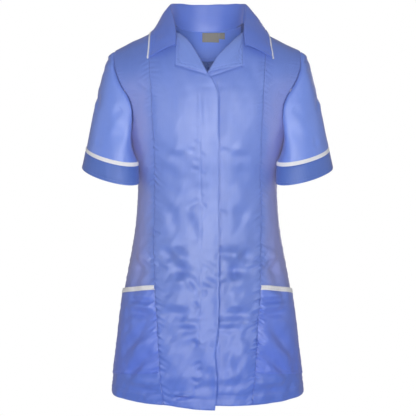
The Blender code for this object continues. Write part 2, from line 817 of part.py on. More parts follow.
def collar_profile(seam, fold, edge, open_way, tangent, tuck):
    """Points of one section, from the neck edge over the fold to the outer edge, and their normals."""
    up = unit(np.cross(tangent, open_way))
    up = up if up @ np.array([0, -0.5, 1.0]) > 0 else -up
    centre = fold - ROLL * up
    start = rest_on_body(centre - ROLL * up + SEAT_OUT * open_way, SEAT_ABOVE)
    foot = mix(seam + NECK_GAP * unit(start - seam), start, tuck)
    to_edge = edge - centre
    rise = unit(centre - foot)
    first = math.atan2(rise @ open_way, rise @ up)
    fall = unit(to_edge)
    last = math.atan2(fall @ open_way, fall @ up)

    def on_arc(angle):
        return ROLL * (up * math.sin(angle) - open_way * math.cos(angle))

    angles = np.linspace(first, last, ARC_STEPS)
    arc = [centre + on_arc(a) for a in angles]
    ways = [unit(on_arc(a)) for a in angles]
    stand = [mix(foot, arc[0], s) for s in (0, 0.5)]
    bow = LEAF_BOW * ways[-1]
    leaf = [mix(arc[-1], edge, s) + bow * math.sin(math.pi * s) for s in (0.33, 0.67, 1)]
    leaf = [rest_on_body(p, COLLAR_ABOVE) for p in leaf]
    return stand + arc + leaf, [ways[0]] * 2 + ways + [ways[-1]] * 3


def collar(tops, rolls):
    stations = collar_stations(tops, rolls)
    folds = np.array([s[1] for s in stations])
    tangents = np.gradient(folds, axis=0)
    outer, normals = [], []
    for k, ((seam, fold, edge, open_way), tangent) in enumerate(zip(stations, tangents)):
        share = abs(2 * k / (len(stations) - 1) - 1)
        tuck = ease((share - TUCKED + TUCK_LEAD) / TUCK_SPAN)
        points, ways = collar_profile(seam, fold, edge, open_way, unit(tangent), tuck)
        outer.append(points)
        normals.append(ways)
    outer, normals = np.array(outer), np.array(normals)
    inner = outer - DOUBLE * normals
    inner[:, 0] = [rest_on_body(point, NECK_GAP) for point in inner[:, 0]]
    wall("collar", outer, inner, BLUE)
    piping(outer, inner)


def piping(outer, inner):
    """A flat white cord along the collar's long edge."""
    way = outer[:, -1] - outer[:, -2]
    way /= np.linalg.norm(way, axis=1)[:, None]
    thick = outer[:, -1] - inner[:, -1]
    near_out, near_in = outer[:, -1] + SEAM * way, inner[:, -1] + SEAM * way
    far = PIPING - SEAM
    crest, end = far * PIPING_CREST * way, far * way
    above, below = (share * thick for share in PIPING_ROUND)
    rows_out = np.stack([near_out, near_out + crest + above, near_out + end], axis=1)
    rows_in = np.stack([near_in, near_in + crest, near_in + end + below], axis=1)
    wall("collar_piping", rows_out, rows_in, WHITE)


def rever(name, corners, roll):
    """A turned-back rever between its gorge, outer edge, free edge and roll line."""
    gorge, notch, point, low = (np.array(c) for c in corners)
    roll = np.array(roll)
    reach = [along(roll, s) for s in np.linspace(0, 1, 101)]
    top_share = np.argmin([np.linalg.norm(p - gorge) for p in reach]) / 100
    low_share = np.argmin([np.linalg.norm(p - low) for p in reach]) / 100
    outer, normals = [], []
    for i in range(REVER_STEPS + 1):
        v = i / REVER_STEPS
        start = along(roll, mix(top_share, low_share, v))
        end = mix(notch, point, v)
        row, ways = [], []
        for j in range(REVER_STEPS + 1):
            u = j / REVER_STEPS
            straight = mix(mix(gorge, notch, u), mix(low, point, u), v)
            side = mix(start, end, u) - mix(mix(gorge, low, v), mix(notch, point, v), u)
            level, turn = locate(*(straight + side))
            way = facing(level, turn)
            bow = math.sin(math.pi * min(u + REVER_ENDS[0], REVER_ENDS[1]))
            stand = REVER_AIR + REVER_LIFT * bow + DOUBLE
            row.append(skin(level, turn) + way * stand)
            ways.append(way)
        outer.append(row)
        normals.append(ways)
    outer, normals = np.array(outer), np.array(normals)
    wall(name, outer, outer - DOUBLE * normals, BLUE)


def neck_facing():
    """A half-moon inside the back neck."""
    half = NECK - FACING_SHORT
    outer, normals = [], []
    for i in range(FACING_ROWS + 1):
        row, ways = [], []
        for j in range(FACING_COLUMNS + 1):
            x = half * (2 * j / FACING_COLUMNS - 1)
            top = neck_back(x) - SEAM - EASE
            low = top - FACING_ENDS - (FACING_DEPTH - FACING_ENDS) * math.sqrt(1 - (x / NECK) ** 2)
            place = locate(x, mix(low, top, i / FACING_ROWS), True)
            way = facing(*place)
            row.append(skin(*place) - FACING_IN * way)
            ways.append(way)
        outer.append(row)
        normals.append(ways)
    outer, normals = np.array(outer), np.array(normals)
    wall("neck_facing", outer, outer - CLOTH * normals, BLUE)


def label(name, size):
    """A bare woven label, caught under the back neck seam."""
    outer, normals = [], []
    for i in range(LABEL_ROWS + 1):
        z = NECK_BACK - LABEL_DOWN - size.height * (1 - i / LABEL_ROWS)
        across = [mix(size.left, size.right, j / LABEL_COLUMNS) for j in range(LABEL_COLUMNS + 1)]
        places = [locate(x, z, True) for x in across]
        ways = np.array([facing(*place) for place in places])
        outer.append([skin(*place) - LABEL_IN * way for place, way in zip(places, ways)])
        normals.append(ways)
    outer, normals = np.array(outer), np.array(normals)
    wall(name, outer, outer - TAPE * normals, LABEL)


# ---------------------------------------------------------------- tunic


def clear_scene():
    for item in list(bpy.data.objects):
        bpy.data.objects.remove(item, do_unlink=True)


def main():
    clear_scene()
    rolls = fronts()
    zip_tape()
    side_fronts()
    tops = backs()
    sleeves()
    collar(tops, rolls)
    rever("rever_right", REVER_RIGHT, ROLL_OVER)
    rever("rever_left", REVER_LEFT, ROLL_UNDER)
    neck_facing()
    label("main_label", MAIN_LABEL)
    label("size_label", SIZE_LABEL)


main()
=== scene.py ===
"""Looks of a short-sleeved revere collar tunic, hollow and filled out as it is worn.

Metres, +Z up. The front faces -Y and the wearer's left is +X. Every cut piece is a thin shell on the form
of its solid: a fine grid is laid on the form, its creases, puckers and seam ditches are pressed in,
and it gets its thickness as a wall.
"""

import logging
import math
from collections import namedtuple
from collections.abc import Callable, Sequence
from dataclasses import dataclass, field, replace
from enum import Enum
from functools import partial, partialmethod

import bpy
import numpy as np
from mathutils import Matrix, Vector

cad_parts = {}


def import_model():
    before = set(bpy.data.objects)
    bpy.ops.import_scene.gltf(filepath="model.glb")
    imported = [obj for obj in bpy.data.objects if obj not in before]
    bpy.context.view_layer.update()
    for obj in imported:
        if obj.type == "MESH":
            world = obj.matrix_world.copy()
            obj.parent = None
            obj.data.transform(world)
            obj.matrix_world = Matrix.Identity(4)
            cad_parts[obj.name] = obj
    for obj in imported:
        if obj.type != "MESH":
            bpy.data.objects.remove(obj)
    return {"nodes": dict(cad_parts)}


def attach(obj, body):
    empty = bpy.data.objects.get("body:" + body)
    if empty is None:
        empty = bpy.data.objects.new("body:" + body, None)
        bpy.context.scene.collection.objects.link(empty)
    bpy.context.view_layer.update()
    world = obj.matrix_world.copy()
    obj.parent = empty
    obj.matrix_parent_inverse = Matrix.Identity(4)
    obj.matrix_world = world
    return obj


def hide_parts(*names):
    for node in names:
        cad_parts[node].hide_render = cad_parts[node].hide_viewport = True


Array = np.ndarray
Number = float | Array
Pair = tuple[Array, Array]
Surface = Callable[[Array, Array], Pair]
Piece = bpy.types.Object
Socket = bpy.types.NodeSocket

LOG = logging.getLogger("tunic")

# Cloth
SEAM = 0.0003  # gap between two pieces that meet
CLOTH = 0.0012  # wall of a single layer
DOUBLE = 0.0016  # wall of a collar or a rever
TRIM = 0.0018  # wall of the white bands and bindings
TAPE = 0.0008  # wall of a label
STITCH_IN = 0.006  # distance of a row of stitches from the edge that it holds
COLLAR_STITCH_IN = 0.0068  # and from the edges of the collar and the revers
COLLAR_ROW = (0.00045, 0.0013)  # depth and half width of the line that their stitches draw in
TRIM_EDGE = (0.0006, 0.0011)  # depth and half width of the line along both edges of a trim
LEAST_CUT = 0.0101  # least side of a sheet's stated cut
LEAST_FILL = 0.301  # least share of that cut that its area may be
ROW_ENDS = (0.0, 0.0007, 0.0016, 0.0028)  # first rows of a grid, from its edge
COLUMN_ENDS = (0.0, 0.0007, 0.0015, 0.0024, 0.0036)  # first columns of a panel

# Body
HEM = -0.744
BUST = -0.222
RIDGE = 0.041  # level of the shoulder line
FULLNESS = 2 / 2.3  # power that squares the body's oval section
QUARTER = math.pi / 2
NECK = 0.0715  # half width of the neck
NECK_BACK = 0.0057  # height of the neckline at the centre back
FLY_TOP = -0.1255

# Pockets
POCKET_FOOT = -0.680
POCKET_MOUTH = -0.5165
BINDING_TOP = -0.507

# Half width and depths of the body
Section = namedtuple("Section", "level half_width front back")
SECTIONS = (
    Section(-0.76, 0.2, 0.138, 0.129), Section(-0.71, 0.1955, 0.136, 0.127),
    Section(-0.64, 0.1868, 0.133, 0.124), Section(-0.57, 0.1775, 0.127, 0.119),
    Section(-0.505, 0.1665, 0.12, 0.113), Section(-0.45, 0.1562, 0.113, 0.106),
    Section(-0.4, 0.1477, 0.108, 0.099), Section(-0.34, 0.1428, 0.107, 0.096),
    Section(-0.3, 0.1425, 0.11, 0.098), Section(-0.26, 0.1485, 0.117, 0.102),
    Section(BUST, 0.158, 0.121, 0.106),
)

# Where the armhole seam runs, from the underarm (0) to the shoulder tip (1)
Armhole = namedtuple("Armhole", "rise front_x back_x")
ARMHOLE = (
    Armhole(0.0, 0.158, 0.158), Armhole(0.1, 0.1535, 0.16), Armhole(0.22, 0.15, 0.1625),
    Armhole(0.35, 0.152, 0.1655), Armhole(0.45, 0.1585, 0.169), Armhole(0.6, 0.174, 0.1765),
    Armhole(0.8, 0.1865, 0.185), Armhole(1.0, 0.189, 0.189),
)

# How far a row sinks from the princess seam to the side seam
Dip = namedtuple("Dip", "level sink")
SIDE_DIP = (
    Dip(-0.76, -0.0075), Dip(HEM, -0.0075), Dip(POCKET_FOOT, 0.021), Dip(BINDING_TOP, 0.019),
    Dip(-0.36, 0.0), Dip(BUST, 0.0),
)

# Shoulder princess seam
Line = namedtuple("Line", "level x")
PRINCESS = (
    Line(-0.744, 0.0905), Line(-0.683, 0.095), Line(-0.607, 0.0995), Line(-0.53, 0.105),
    Line(-0.45, 0.1075), Line(-0.347, 0.1075), Line(-0.254, 0.1055), Line(-0.194, 0.1085),
    Line(-0.11, 0.112), Line(-0.023, 0.1165), Line(RIDGE, 0.1165),
)

# Free edge of the over front
EDGE_OVER = (
    Line(-0.76, 0.0135), Line(-0.714, 0.0175), Line(-0.632, 0.0165), Line(-0.59, 0.0208),
    Line(-0.45, 0.0227), Line(-0.13, 0.0213), Line(-0.1, 0.0205),
)

# Edge of each front, x and z, from the top of the fly up the roll line to the neck point
ROLL_OVER = (
    (0.0213, -0.1255), (0.0164, -0.112), (0.0085, -0.0955), (-0.004, -0.082),
    (-0.0207, -0.052), (-0.0414, -0.022), (-0.059, -0.0065), (-0.0655, 0.006),
    (-0.0665, 0.0196),
)
ROLL_UNDER = (
    (-0.018, -0.1255), (-0.0135, -0.112), (-0.006, -0.096), (0.003, -0.084),
    (0.023, -0.053), (0.048, -0.0275), (0.069, -0.0065), (0.0755, 0.006),
    (0.0765, 0.0147),
)

# Line of stitches that holds the fly, down to its curved foot
FLY_STITCH = (
    (-0.017, -0.13), (-0.015, -0.218), (-0.0124, -0.385), (-0.015, -0.52),
    (-0.0172, -0.6), (-0.018, -0.617), (-0.0143, -0.627), (-0.006, -0.633),
    (0.001, -0.6345), (0.016, -0.634),
)
# ---- numbers


def mix(start: Number, end: Number, share: Number) -> Number:
    """Value at a share of the way from start to end."""
    return start + (end - start) * share


def ease(share: Number) -> Array:
    """0 to 1 with flat ends."""
    held = np.clip(share, 0.0, 1.0)
    return held * held * (3 - 2 * held)


def bell(distance: Number) -> Array:
    """1 at 0, falling off smoothly on both sides."""
    return np.exp(-np.square(distance))


def pressed(*lines: tuple) -> Array:
    """Lift of soft lines, each given by the points' distances from it, its depth and its width."""
    return -sum(depth * bell(away / width) for away, depth, width in lines)


def unit(vectors: Array) -> Array:
    """Vectors of length 1."""
    return vectors / np.linalg.norm(vectors, axis=-1, keepdims=True)


def dot(first: Array, second: Array) -> Array:
    """Products of matching vectors."""
    return np.einsum("...i,...i->...", first, second)


def power(value: Number) -> Array:
    """Sine or cosine, made fuller for a squarer section."""
    return np.sign(value) * np.abs(value) ** FULLNESS


def runs(points: Array, axis: int = 0) -> Array:
    """Length along chains of points, from 0 at their start."""
    steps = np.linalg.norm(np.diff(points, axis=axis), axis=-1)
    start = np.zeros_like(np.take(steps, [0], axis=axis))
    return np.cumsum(np.concatenate([start, steps], axis=axis), axis=axis)


def marks(length: float, pitch: float, ends: Sequence[float] = ROW_ENDS) -> Array:
    """Places along a length: close together at both ends, where a seam turns in, and even between.

    Args:
        length: the length.
        pitch: usual distance between two places.
        ends: the first places, from either end.

    Returns:
        The places, from 0 to the length.
    """
    ends = np.array(ends)
    inner = length - 2 * ends[-1]
    count = max(int(round(inner / pitch)), 2)
    middle = ends[-1] + inner * np.arange(1, count) / count
    return np.concatenate([ends, middle, length - ends[::-1]])


class Track:
    """Smooth line through the values of a table, whose keys rise."""

    def __init__(self, keys: Sequence[float], values: Sequence[float]) -> None:
        self.keys, self.values = np.array(keys, float), np.array(values, float)
        last = len(self.keys) - 1
        low = np.maximum(np.arange(last + 1) - 1, 0)
        high = np.minimum(np.arange(last + 1) + 1, last)
        self.slopes = (self.values[high] - self.values[low]) / (self.keys[high] - self.keys[low])

    @classmethod
    def of(cls, table: Sequence[tuple], name: str) -> "Track":
        """Line through one named column of a table."""
        return cls([row[0] for row in table], [getattr(row, name) for row in table])

    def __call__(self, where: Number) -> Array:
        """Value at a key.

        Args:
            where: one key or an array of keys; past the ends the end values hold.

        Returns:
            The values there.
        """
        where = np.clip(where, self.keys[0], self.keys[-1])
        i = np.clip(np.searchsorted(self.keys, where) - 1, 0, len(self.keys) - 2)
        span = self.keys[i + 1] - self.keys[i]
        share = (where - self.keys[i]) / span
        start, end = self.slopes[i] * span, self.slopes[i + 1] * span
        rise = self.values[i + 1] - self.values[i]
        bend = (3 * rise - 2 * start - end) + share * (start + end - 2 * rise)
        return self.values[i] + share * (start + share * bend)


class SmoothPath:
    """Smooth line through points, read by the share of its length."""

    def __init__(self, points: Sequence[tuple]) -> None:
        corners = np.array(points, float)
        run = runs(corners)
        self.tracks = [Track(run / run[-1], column) for column in corners.T]

    def __call__(self, share: Number) -> Array:
        """Points at these shares of the length."""
        return np.stack([track(share) for track in self.tracks], axis=-1)


# ---- the form of the body


class BodyForm:
    """The smooth form that all body panels lie on.

    Below the bust a level is a height. Above it a row sags from the neck to the shoulder tip, and its level
    is its height on the centre line. A turn goes round the body: 0 at the centre front, a quarter at the
    side, a half at the centre back, negative on the wearer's right.
    """

    slope = 0.5
    ridge_round = 0.03
    front_rise = (1.8, 0.5525)
    back_rise = (3.0, 0.5)
    arm_open = math.radians(34)
    arm_full = 0.4

    def __init__(self) -> None:
        self.width = Track.of(SECTIONS, "half_width")
        self.front = Track.of(SECTIONS, "front")
        self.back = Track.of(SECTIONS, "back")
        self.arm_front = Track.of(ARMHOLE, "front_x")
        self.arm_back = Track.of(ARMHOLE, "back_x")
        self.princess = Track.of(PRINCESS, "x")
        self.dip = Track.of(SIDE_DIP, "sink")

    def shoulder(self, x: Number) -> Array:
        """Height of the shoulder line."""
        return RIDGE - self.slope * (np.hypot(x, self.ridge_round) - self.ridge_round)

    def rise(self, level: Number) -> Number:
        """Share of the way from the bust to the shoulder."""
        return (level - BUST) / (RIDGE - BUST)

    def level_of(self, x: Array, z: Array) -> Array:
        """Level of the points with this x and z."""
        above = BUST + (z - BUST) / (self.shoulder(x) - BUST) * (RIDGE - BUST)
        return np.where(z <= BUST, z, above)

    def arm_turn(self, level: Number) -> Array:
        """Turn, from the centre front, at which a row meets the armhole or the side seam."""
        short = np.clip(1 - np.maximum(self.rise(level), 0) / self.arm_full, 0, 1)
        return QUARTER - self.arm_open * np.sqrt(1 - short * short)

    def half_width(self, level: Number, back: bool | Array) -> Array:
        """Half width of the whole section; above the bust it runs on under the arm."""
        rise = np.maximum(self.rise(level), 0)
        seam = np.where(back, self.arm_back(rise), self.arm_front(rise))
        return np.where(level <= BUST, self.width(level), seam / power(np.sin(self.arm_turn(level))))

    def depth(self, level: Number, back: bool | Array) -> Array:
        """Half depth of the section, in front or behind."""
        rise = np.clip(self.rise(level), 0, 1)
        low = np.minimum(level, BUST)
        front = self.front(low) * (1 - rise ** self.front_rise[0]) ** self.front_rise[1]
        behind = self.back(low) * (1 - rise ** self.back_rise[0]) ** self.back_rise[1]
        return np.where(back, behind, front)

    def skin(self, level: Number, turn: Number) -> Array:
        """Points of the outer surface."""
        level, turn = np.broadcast_arrays(level, turn)
        back = np.abs(turn) > QUARTER
        x = self.half_width(level, back) * power(np.sin(turn))
        y = -self.depth(level, back) * power(np.cos(turn))
        z = np.where(level <= BUST, level, mix(BUST, self.shoulder(x), self.rise(level)))
        return np.stack([x, y, z], axis=-1)

    def normal(self, level: Number, turn: Number) -> Array:
        """Outward normals of the surface."""
        step = 1e-5
        level, turn = np.broadcast_arrays(level, turn)
        down = self.skin(level, turn) - self.skin(level - step, turn)
        across = self.skin(level - step, turn + step) - self.skin(level - step, turn - step)
        normals = unit(np.cross(across, down))
        here = self.skin(level, turn)
        middle = np.zeros_like(here)
        middle[..., 2] = np.minimum(here[..., 2], BUST)
        return np.where(dot(normals, here - middle)[..., None] < 0, -normals, normals)

    def turn_at(self, level: Number, x: Number, back: bool = False) -> Array:
        """Turn of the points with this level and x, in front or behind."""
        sine = np.minimum((np.abs(x) / self.half_width(level, back)) ** (1 / FULLNESS), 1)
        turn = np.copysign(np.arcsin(sine), x)
        return np.copysign(math.pi, x) - turn if back else turn

    def face(self, x: Array, z: Array, back: bool = False) -> Pair:
        """Points and normals of the front or the back at x and z."""
        level = self.level_of(x, z)
        turn = self.turn_at(level, x, back)
        return self.skin(level, turn), self.normal(level, turn)

    def seam_turn(self, level: Number) -> Array:
        """Turn of the princess seam on the wearer's left."""
        return self.turn_at(level, self.princess(level))

    def dipped(self, level: Number, share: Number) -> Array:
        """Level of a row at a share of the way from the princess seam to the side seam."""
        return level - self.dip(np.minimum(level, BUST)) * share**1.2

    def neck_back(self, x: Number) -> Array:
        """Height of the back neckline."""
        return mix(NECK_BACK, self.shoulder(NECK), np.minimum(np.abs(x) / NECK, 1.0) ** 3)

    def above(self, points: Array, gap: Number) -> Array:
        """Moves points up off the shoulders, away from the bust line below them.

        Args:
            points: the points; those below the bust stay.
            gap: least distance from the surface.

        Returns:
            The points, no nearer to the surface than the gap.
        """
        x, y, z = np.moveaxis(points, -1, 0)
        back = y > 0
        tall = np.maximum(z - BUST, 1e-4)
        reach, angle = np.hypot(y, tall), np.arctan2(np.abs(y), tall)
        low, high = np.zeros_like(x), np.ones_like(x)
        for _ in range(26):
            rise = (low + high) / 2
            level = BUST + rise * (RIDGE - BUST)
            sine = np.minimum(np.abs(x) / self.half_width(level, back), 1.0)
            out = self.depth(level, back) * (1 - sine ** (2 / FULLNESS)) ** (FULLNESS / 2)
            up = rise * (self.shoulder(x) - BUST)
            under = np.arctan2(out, up) < angle
            low, high = np.where(under, low, rise), np.where(under, rise, high)
        least = np.hypot(out, up) + gap
        scale = np.where((z > BUST) & (reach < least), least / reach, 1.0)
        return np.stack([x, y * scale, np.where(z > BUST, BUST + (z - BUST) * scale, z)], axis=-1)

    def clear(self, points: Array, gap: float) -> Array:
        """Moves points of the left sleeve sideways off the body, where a panel lies behind them.

        Args:
            points: the points.
            gap: least distance from the body.

        Returns:
            The points, off the body.
        """
        x, y, z = np.moveaxis(points, -1, 0)
        back = y > 0
        level = self.level_of(x, z)
        wide, deep = self.half_width(level, back) + gap, self.depth(level, back) + gap
        across, out = (np.abs(x) / wide) ** (1 / FULLNESS), (np.abs(y) / deep) ** (1 / FULLNESS)
        size = np.hypot(across, out)
        past = self.arm_turn(level) + 0.1 - np.arctan2(across, out)
        held = np.where(level <= BUST, 1.0, ease(past / 0.08))
        scale = np.where(size < 1, mix(1.0, size**-FULLNESS, held), 1.0)
        return np.stack([x * scale, y * scale, z], axis=-1)
# ---- folds


@dataclass(frozen=True)
class Crease:
    """A soft line pressed into the cloth.

    Attributes:
        path: its points, x and z as seen from the front or the back.
        depth: how far its bottom sinks; a ridge has a negative depth.
        width: half width of its bottom.
        rim: share of the depth that its left side stands proud, seen from its start to its end.
        even: whether it keeps its depth up to its ends.
    """

    path: tuple
    depth: float
    width: float = 0.0032
    rim: float = 0.45
    even: bool = False

    def mirrored(self) -> "Crease":
        """The same crease on the other side of the body."""
        return replace(self, path=tuple((-x, z) for x, z in reversed(self.path)))

    def lift(self, points: Array, normals: Array, surface: Surface) -> Array:
        """How far the cloth moves out.

        Args:
            points: points of the smooth cloth.
            normals: its normals there.
            surface: finds the smooth cloth's points and normals from x and z.

        Returns:
            A distance for each point.
        """
        line, _ = surface(*SmoothPath(self.path)(np.linspace(0, 1, 14)).T)
        room = 4.5 * self.width
        near = ((points > line.min(0) - room) & (points < line.max(0) + room)).all(-1)
        moved = np.zeros(points.shape[:-1])
        if not near.any():
            return moved
        here, ways = points[near], normals[near]
        run = runs(line) / runs(line)[-1]
        least, share, side = np.full(len(here), np.inf), np.zeros(len(here)), np.ones(len(here))
        for start, end, first, last in zip(line, line[1:], run, run[1:]):
            step = end - start
            part = np.clip((here - start) @ step / max(step @ step, 1e-12), 0, 1)
            off = here - start - part[:, None] * step
            far = np.linalg.norm(off, axis=1)
            nearer = far < least
            least = np.where(nearer, far, least)
            share = np.where(nearer, mix(first, last, part), share)
            side = np.where(nearer, np.sign(dot(np.cross(step, off), ways)), side)
        fade = 1.0 if self.even else np.sin(math.pi * np.clip(share, 0.001, 0.999)) ** 0.7
        across = least * side / self.width
        moved[near] = self.depth * fade * (self.rim * bell(across - 1.9) - bell(across))
        return moved


@dataclass(frozen=True)
class Dent:
    """A soft hollow or a tilted patch.

    Attributes:
        x: its middle, as seen from the front or the back.
        z: height of its middle.
        wide: half its width.
        tall: half its height.
        sink: how far its middle sinks.
        tilt: how far its top stands proud and its foot sinks, so that it faces down.
        lean: turn of its tall axis, in degrees, to the right at the top.
    """

    x: float
    z: float
    wide: float
    tall: float
    sink: float = 0.0
    tilt: float = 0.0
    lean: float = 0.0

    def mirrored(self) -> "Dent":
        """The same dent on the other side of the body."""
        return replace(self, x=-self.x, lean=-self.lean)

    def lift(self, points: Array, normals: Array, surface: Surface) -> Array:
        """How far the cloth moves out, with the arguments of a crease."""
        middle, way = (found[0] for found in surface(np.array([self.x]), np.array([self.z])))
        right = unit(np.cross((0.0, 0.0, 1.0), way))
        top = np.cross(way, right)
        angle = math.radians(self.lean)
        off = points - middle
        across = (off @ right * math.cos(angle) - off @ top * math.sin(angle)) / self.wide
        upward = (off @ right * math.sin(angle) + off @ top * math.cos(angle)) / self.tall
        here = (np.abs(off @ way) < 0.05) & (normals @ way > 0)
        return np.where(here, (1.6 * self.tilt * upward - self.sink) * bell(across) * bell(upward), 0.0)


@dataclass(frozen=True)
class Ripples:
    """Broad, low waves in every direction, which break up the sheen of a smooth panel.

    Attributes:
        seed: fixes their places.
        height: their usual height.
        shortest: the shortest wave.
        longest: the longest wave.
    """

    seed: int
    height: float
    shortest: float = 0.030
    longest: float = 0.090

    def on(self, side: "Side") -> "Ripples":
        """The same kind of waves with a side's own places."""
        return replace(self, seed=self.seed + side.value)

    def lift(self, points: Array) -> Array:
        """How far the cloth moves out at each point."""
        draw = np.random.default_rng(self.seed)
        count = 24
        moved = np.zeros(points.shape[:-1])
        for _ in range(count):
            way = unit(draw.normal(size=3) * (1.0, 1.0, 0.7))
            start = draw.uniform(0, 2 * math.pi)
            moved += np.cos(points @ way * 2 * math.pi / draw.uniform(self.shortest, self.longest) + start)
        return moved * self.height / math.sqrt(count / 2)


@dataclass(frozen=True)
class Puckers:
    """Little drag lines that a seam draws up along its length.

    Attributes:
        seed: fixes their places and sizes.
        spacing: usual distance from one to the next.
        reach: how far they usually run from the seam.
        slant: how much they fall for each metre away from the seam.
        depth: their usual depth.
        width: their usual half width.
        strength: keys and values of their strength along the seam.
    """

    seed: int
    spacing: float = 0.0115
    reach: float = 0.011
    slant: float = 0.5
    depth: float = 0.00075
    width: float = 0.0026
    strength: tuple = ((0.0, 1.0), (1.0, 1.0))

    def on(self, side: "Side") -> "Puckers":
        """The same kind of puckers with a side's own places."""
        return replace(self, seed=self.seed + side.value)

    def lift(self, run: Array, away: Array) -> Array:
        """How far the cloth moves out.

        Args:
            run: place of each point along the seam.
            away: distance of each point from the seam.

        Returns:
            A distance for each point.
        """
        draw = np.random.default_rng(self.seed)
        strong = Track(*zip(*self.strength))
        run, away = np.broadcast_arrays(run, away)
        moved = np.zeros(run.shape)
        at, end = float(run.min()), float(run.max())
        near = away < 4 * self.reach
        here, far = run[near], away[near]
        total = np.zeros(here.shape)
        while at < end:
            reach, depth = self.reach * draw.uniform(0.5, 1.7), self.depth * draw.uniform(0.35, 1.5)
            width, slant = self.width * draw.uniform(0.7, 1.5), self.slant * draw.uniform(0.5, 1.4)
            off = (here - at + slant * far) / width
            total += bell(far / reach) * depth * strong(at) * (0.7 * bell(off - 1.8) - bell(off))
            at += self.spacing * draw.uniform(0.55, 1.5)
        moved[near] = total
        return moved


MM = 0.001


def crease(depth: float, width: float, *places: float, rim: float = Crease.rim) -> Crease:
    """A crease in millimetres, given by its depth, its width, and x and z of its points in turn."""
    path = tuple(zip(*(np.multiply(places[start::2], MM).tolist() for start in (0, 1))))
    return Crease(path, depth * MM, width * MM, rim)


def dent(*sizes: float, sink: float = 0.0, tilt: float = 0.0, lean: float = 0.0) -> Dent:
    """A dent in millimetres, given by x and z of its middle and half its width and height."""
    return Dent(*(size * MM for size in sizes), sink * MM, tilt * MM, lean)


# Folds of both sides of the body, given for the wearer's right, -X
BOTH_FRONT = (
    dent(-50, -472, 52, 14, tilt=0.5), dent(-52, -694, 56, 14, tilt=0.4),
    dent(-74, -351, 13, 26, tilt=1.6, lean=-12), dent(-53, -462, 13, 18, tilt=3),
    dent(-71, -441, 18, 13, tilt=1.4, lean=35), dent(-62, -243, 16, 12, tilt=1.5),
    dent(-78, -270, 14, 20, tilt=1, lean=-25), dent(-80, -312, 12, 22, tilt=1),
    dent(-58, -552, 22, 14, tilt=1.7), dent(-40, -586, 20, 10, tilt=1), dent(-75, -640, 18, 22, sink=-1),
    dent(-55, -500, 22, 18, sink=-1.2), crease(1.1, 3.9, -101.2, -467.5, -78, -476),
    crease(0.9, 3.6, -106.2, -375.8, -88, -386), crease(0.6, 3.1, -104.5, -401, -93, -407),
    crease(0.7, 7.8, -94, -48, -85, -98, rim=0.7), crease(0.5, 7.2, -78, -56, -72, -108, rim=0.7),
)
BOTH_SIDE = (
    crease(0.9, 3.4, -123.6, -439, -111, -456), crease(1.2, 4.2, -130, -460, -108, -481),
    dent(-133, -465, 17, 18, tilt=2), crease(1.3, 3.9, -156, -130, -148, -126.5, -140.5, -124),
    crease(1, 3.9, -140, -102, -130, -110, -118, -119, -113, -119.5),
    crease(0.6, 2.1, -122.5, -129.7, -114, -130.3), crease(0.6, 2.1, -123, -135.5, -114, -136.5),
    crease(0.6, 2.1, -122.2, -141.5, -113.7, -142.3), dent(-130, -535, 26, 8, tilt=1.2),
    dent(-132, -557, 26, 12, tilt=2.1), crease(-3.8, 12.3, -164, -670, -135, -634, -102, -596, rim=0.8),
    crease(-2.8, 9.1, -154, -703, -125, -674, -101, -650, rim=0.7), dent(-126, -708, 30, 11, tilt=1.7),
    dent(-148, -520, 16, 30, sink=0.8),
)
OVER_FRONT = (
    crease(0.3, 3.9, -15, -114, 16, -114), crease(0.7, 3.4, -8, -129, -5.5, -189),
    crease(0.6, 3.1, -32, -195, -7, -195.4), crease(0.6, 3.4, -26.5, -209, -17.6, -209),
    crease(1, 4.2, -28.5, -223.2, -16.7, -222.8), crease(1.3, 5.2, -40, -240.2, -24.5, -238.2),
    crease(0.8, 3.6, -14.7, -241.5, -6.5, -251.5), crease(0.9, 3.9, -28.5, -259.2, -16.7, -258.8),
    crease(1.1, 4.4, -32.5, -275.5, -16.7, -277.2), crease(0.7, 3.4, -12.5, -285.4, -4.5, -285.4),
    crease(0.6, 3.4, -14, -328.4, -7, -328.8),
    crease(1.4, 5.5, -41, -357, -31.2, -346.7, -23.1, -340.1, -16.4, -337.5),
    crease(1, 3.9, -11.5, -343.2, -6.5, -350, -1.6, -354.1), dent(-27, -380, 12, 28, tilt=1),
    crease(1.1, 5.5, -11.5, -460, 18.2, -471.4), crease(1.8, 8.3, -9.9, -492.7, 19.8, -507.5),
    crease(1.6, 5.5, -44.5, -488.1, -37.9, -501, -28.1, -514, -21.3, -518.8),
    crease(1.1, 5.5, -12.8, -515.8, -1, -523.7), crease(1.2, 4.7, -27.5, -536.5, -20.7, -551.2),
    crease(1.6, 4.7, -30, -610, -20.3, -625.1), crease(1, 3.9, -29, -669, -20.3, -660, -11.4, -655.6),
    crease(0.9, 3.9, -21.5, -676, -11.4, -666.7),
    crease(1.3, 4.4, -34, -687.2, -22.7, -694.3, -9.3, -688.7), crease(0.8, 3.9, -28, -708.5, -22, -711),
    dent(-50, -725, 18, 4.5, tilt=1.6), dent(0, -675, 16, 40, tilt=1.2),
)
UNDER_FRONT = (
    crease(0.3, 3.9, 20, -114, 40, -114.2), crease(1.3, 5.5, 24.5, -239.5, 44.2, -239.6),
    crease(0.8, 3.9, 24, -362, 40, -364), dent(40, -453, 18, 15, tilt=1.1),
    crease(0.9, 5.2, 24, -495, 40, -490),
)
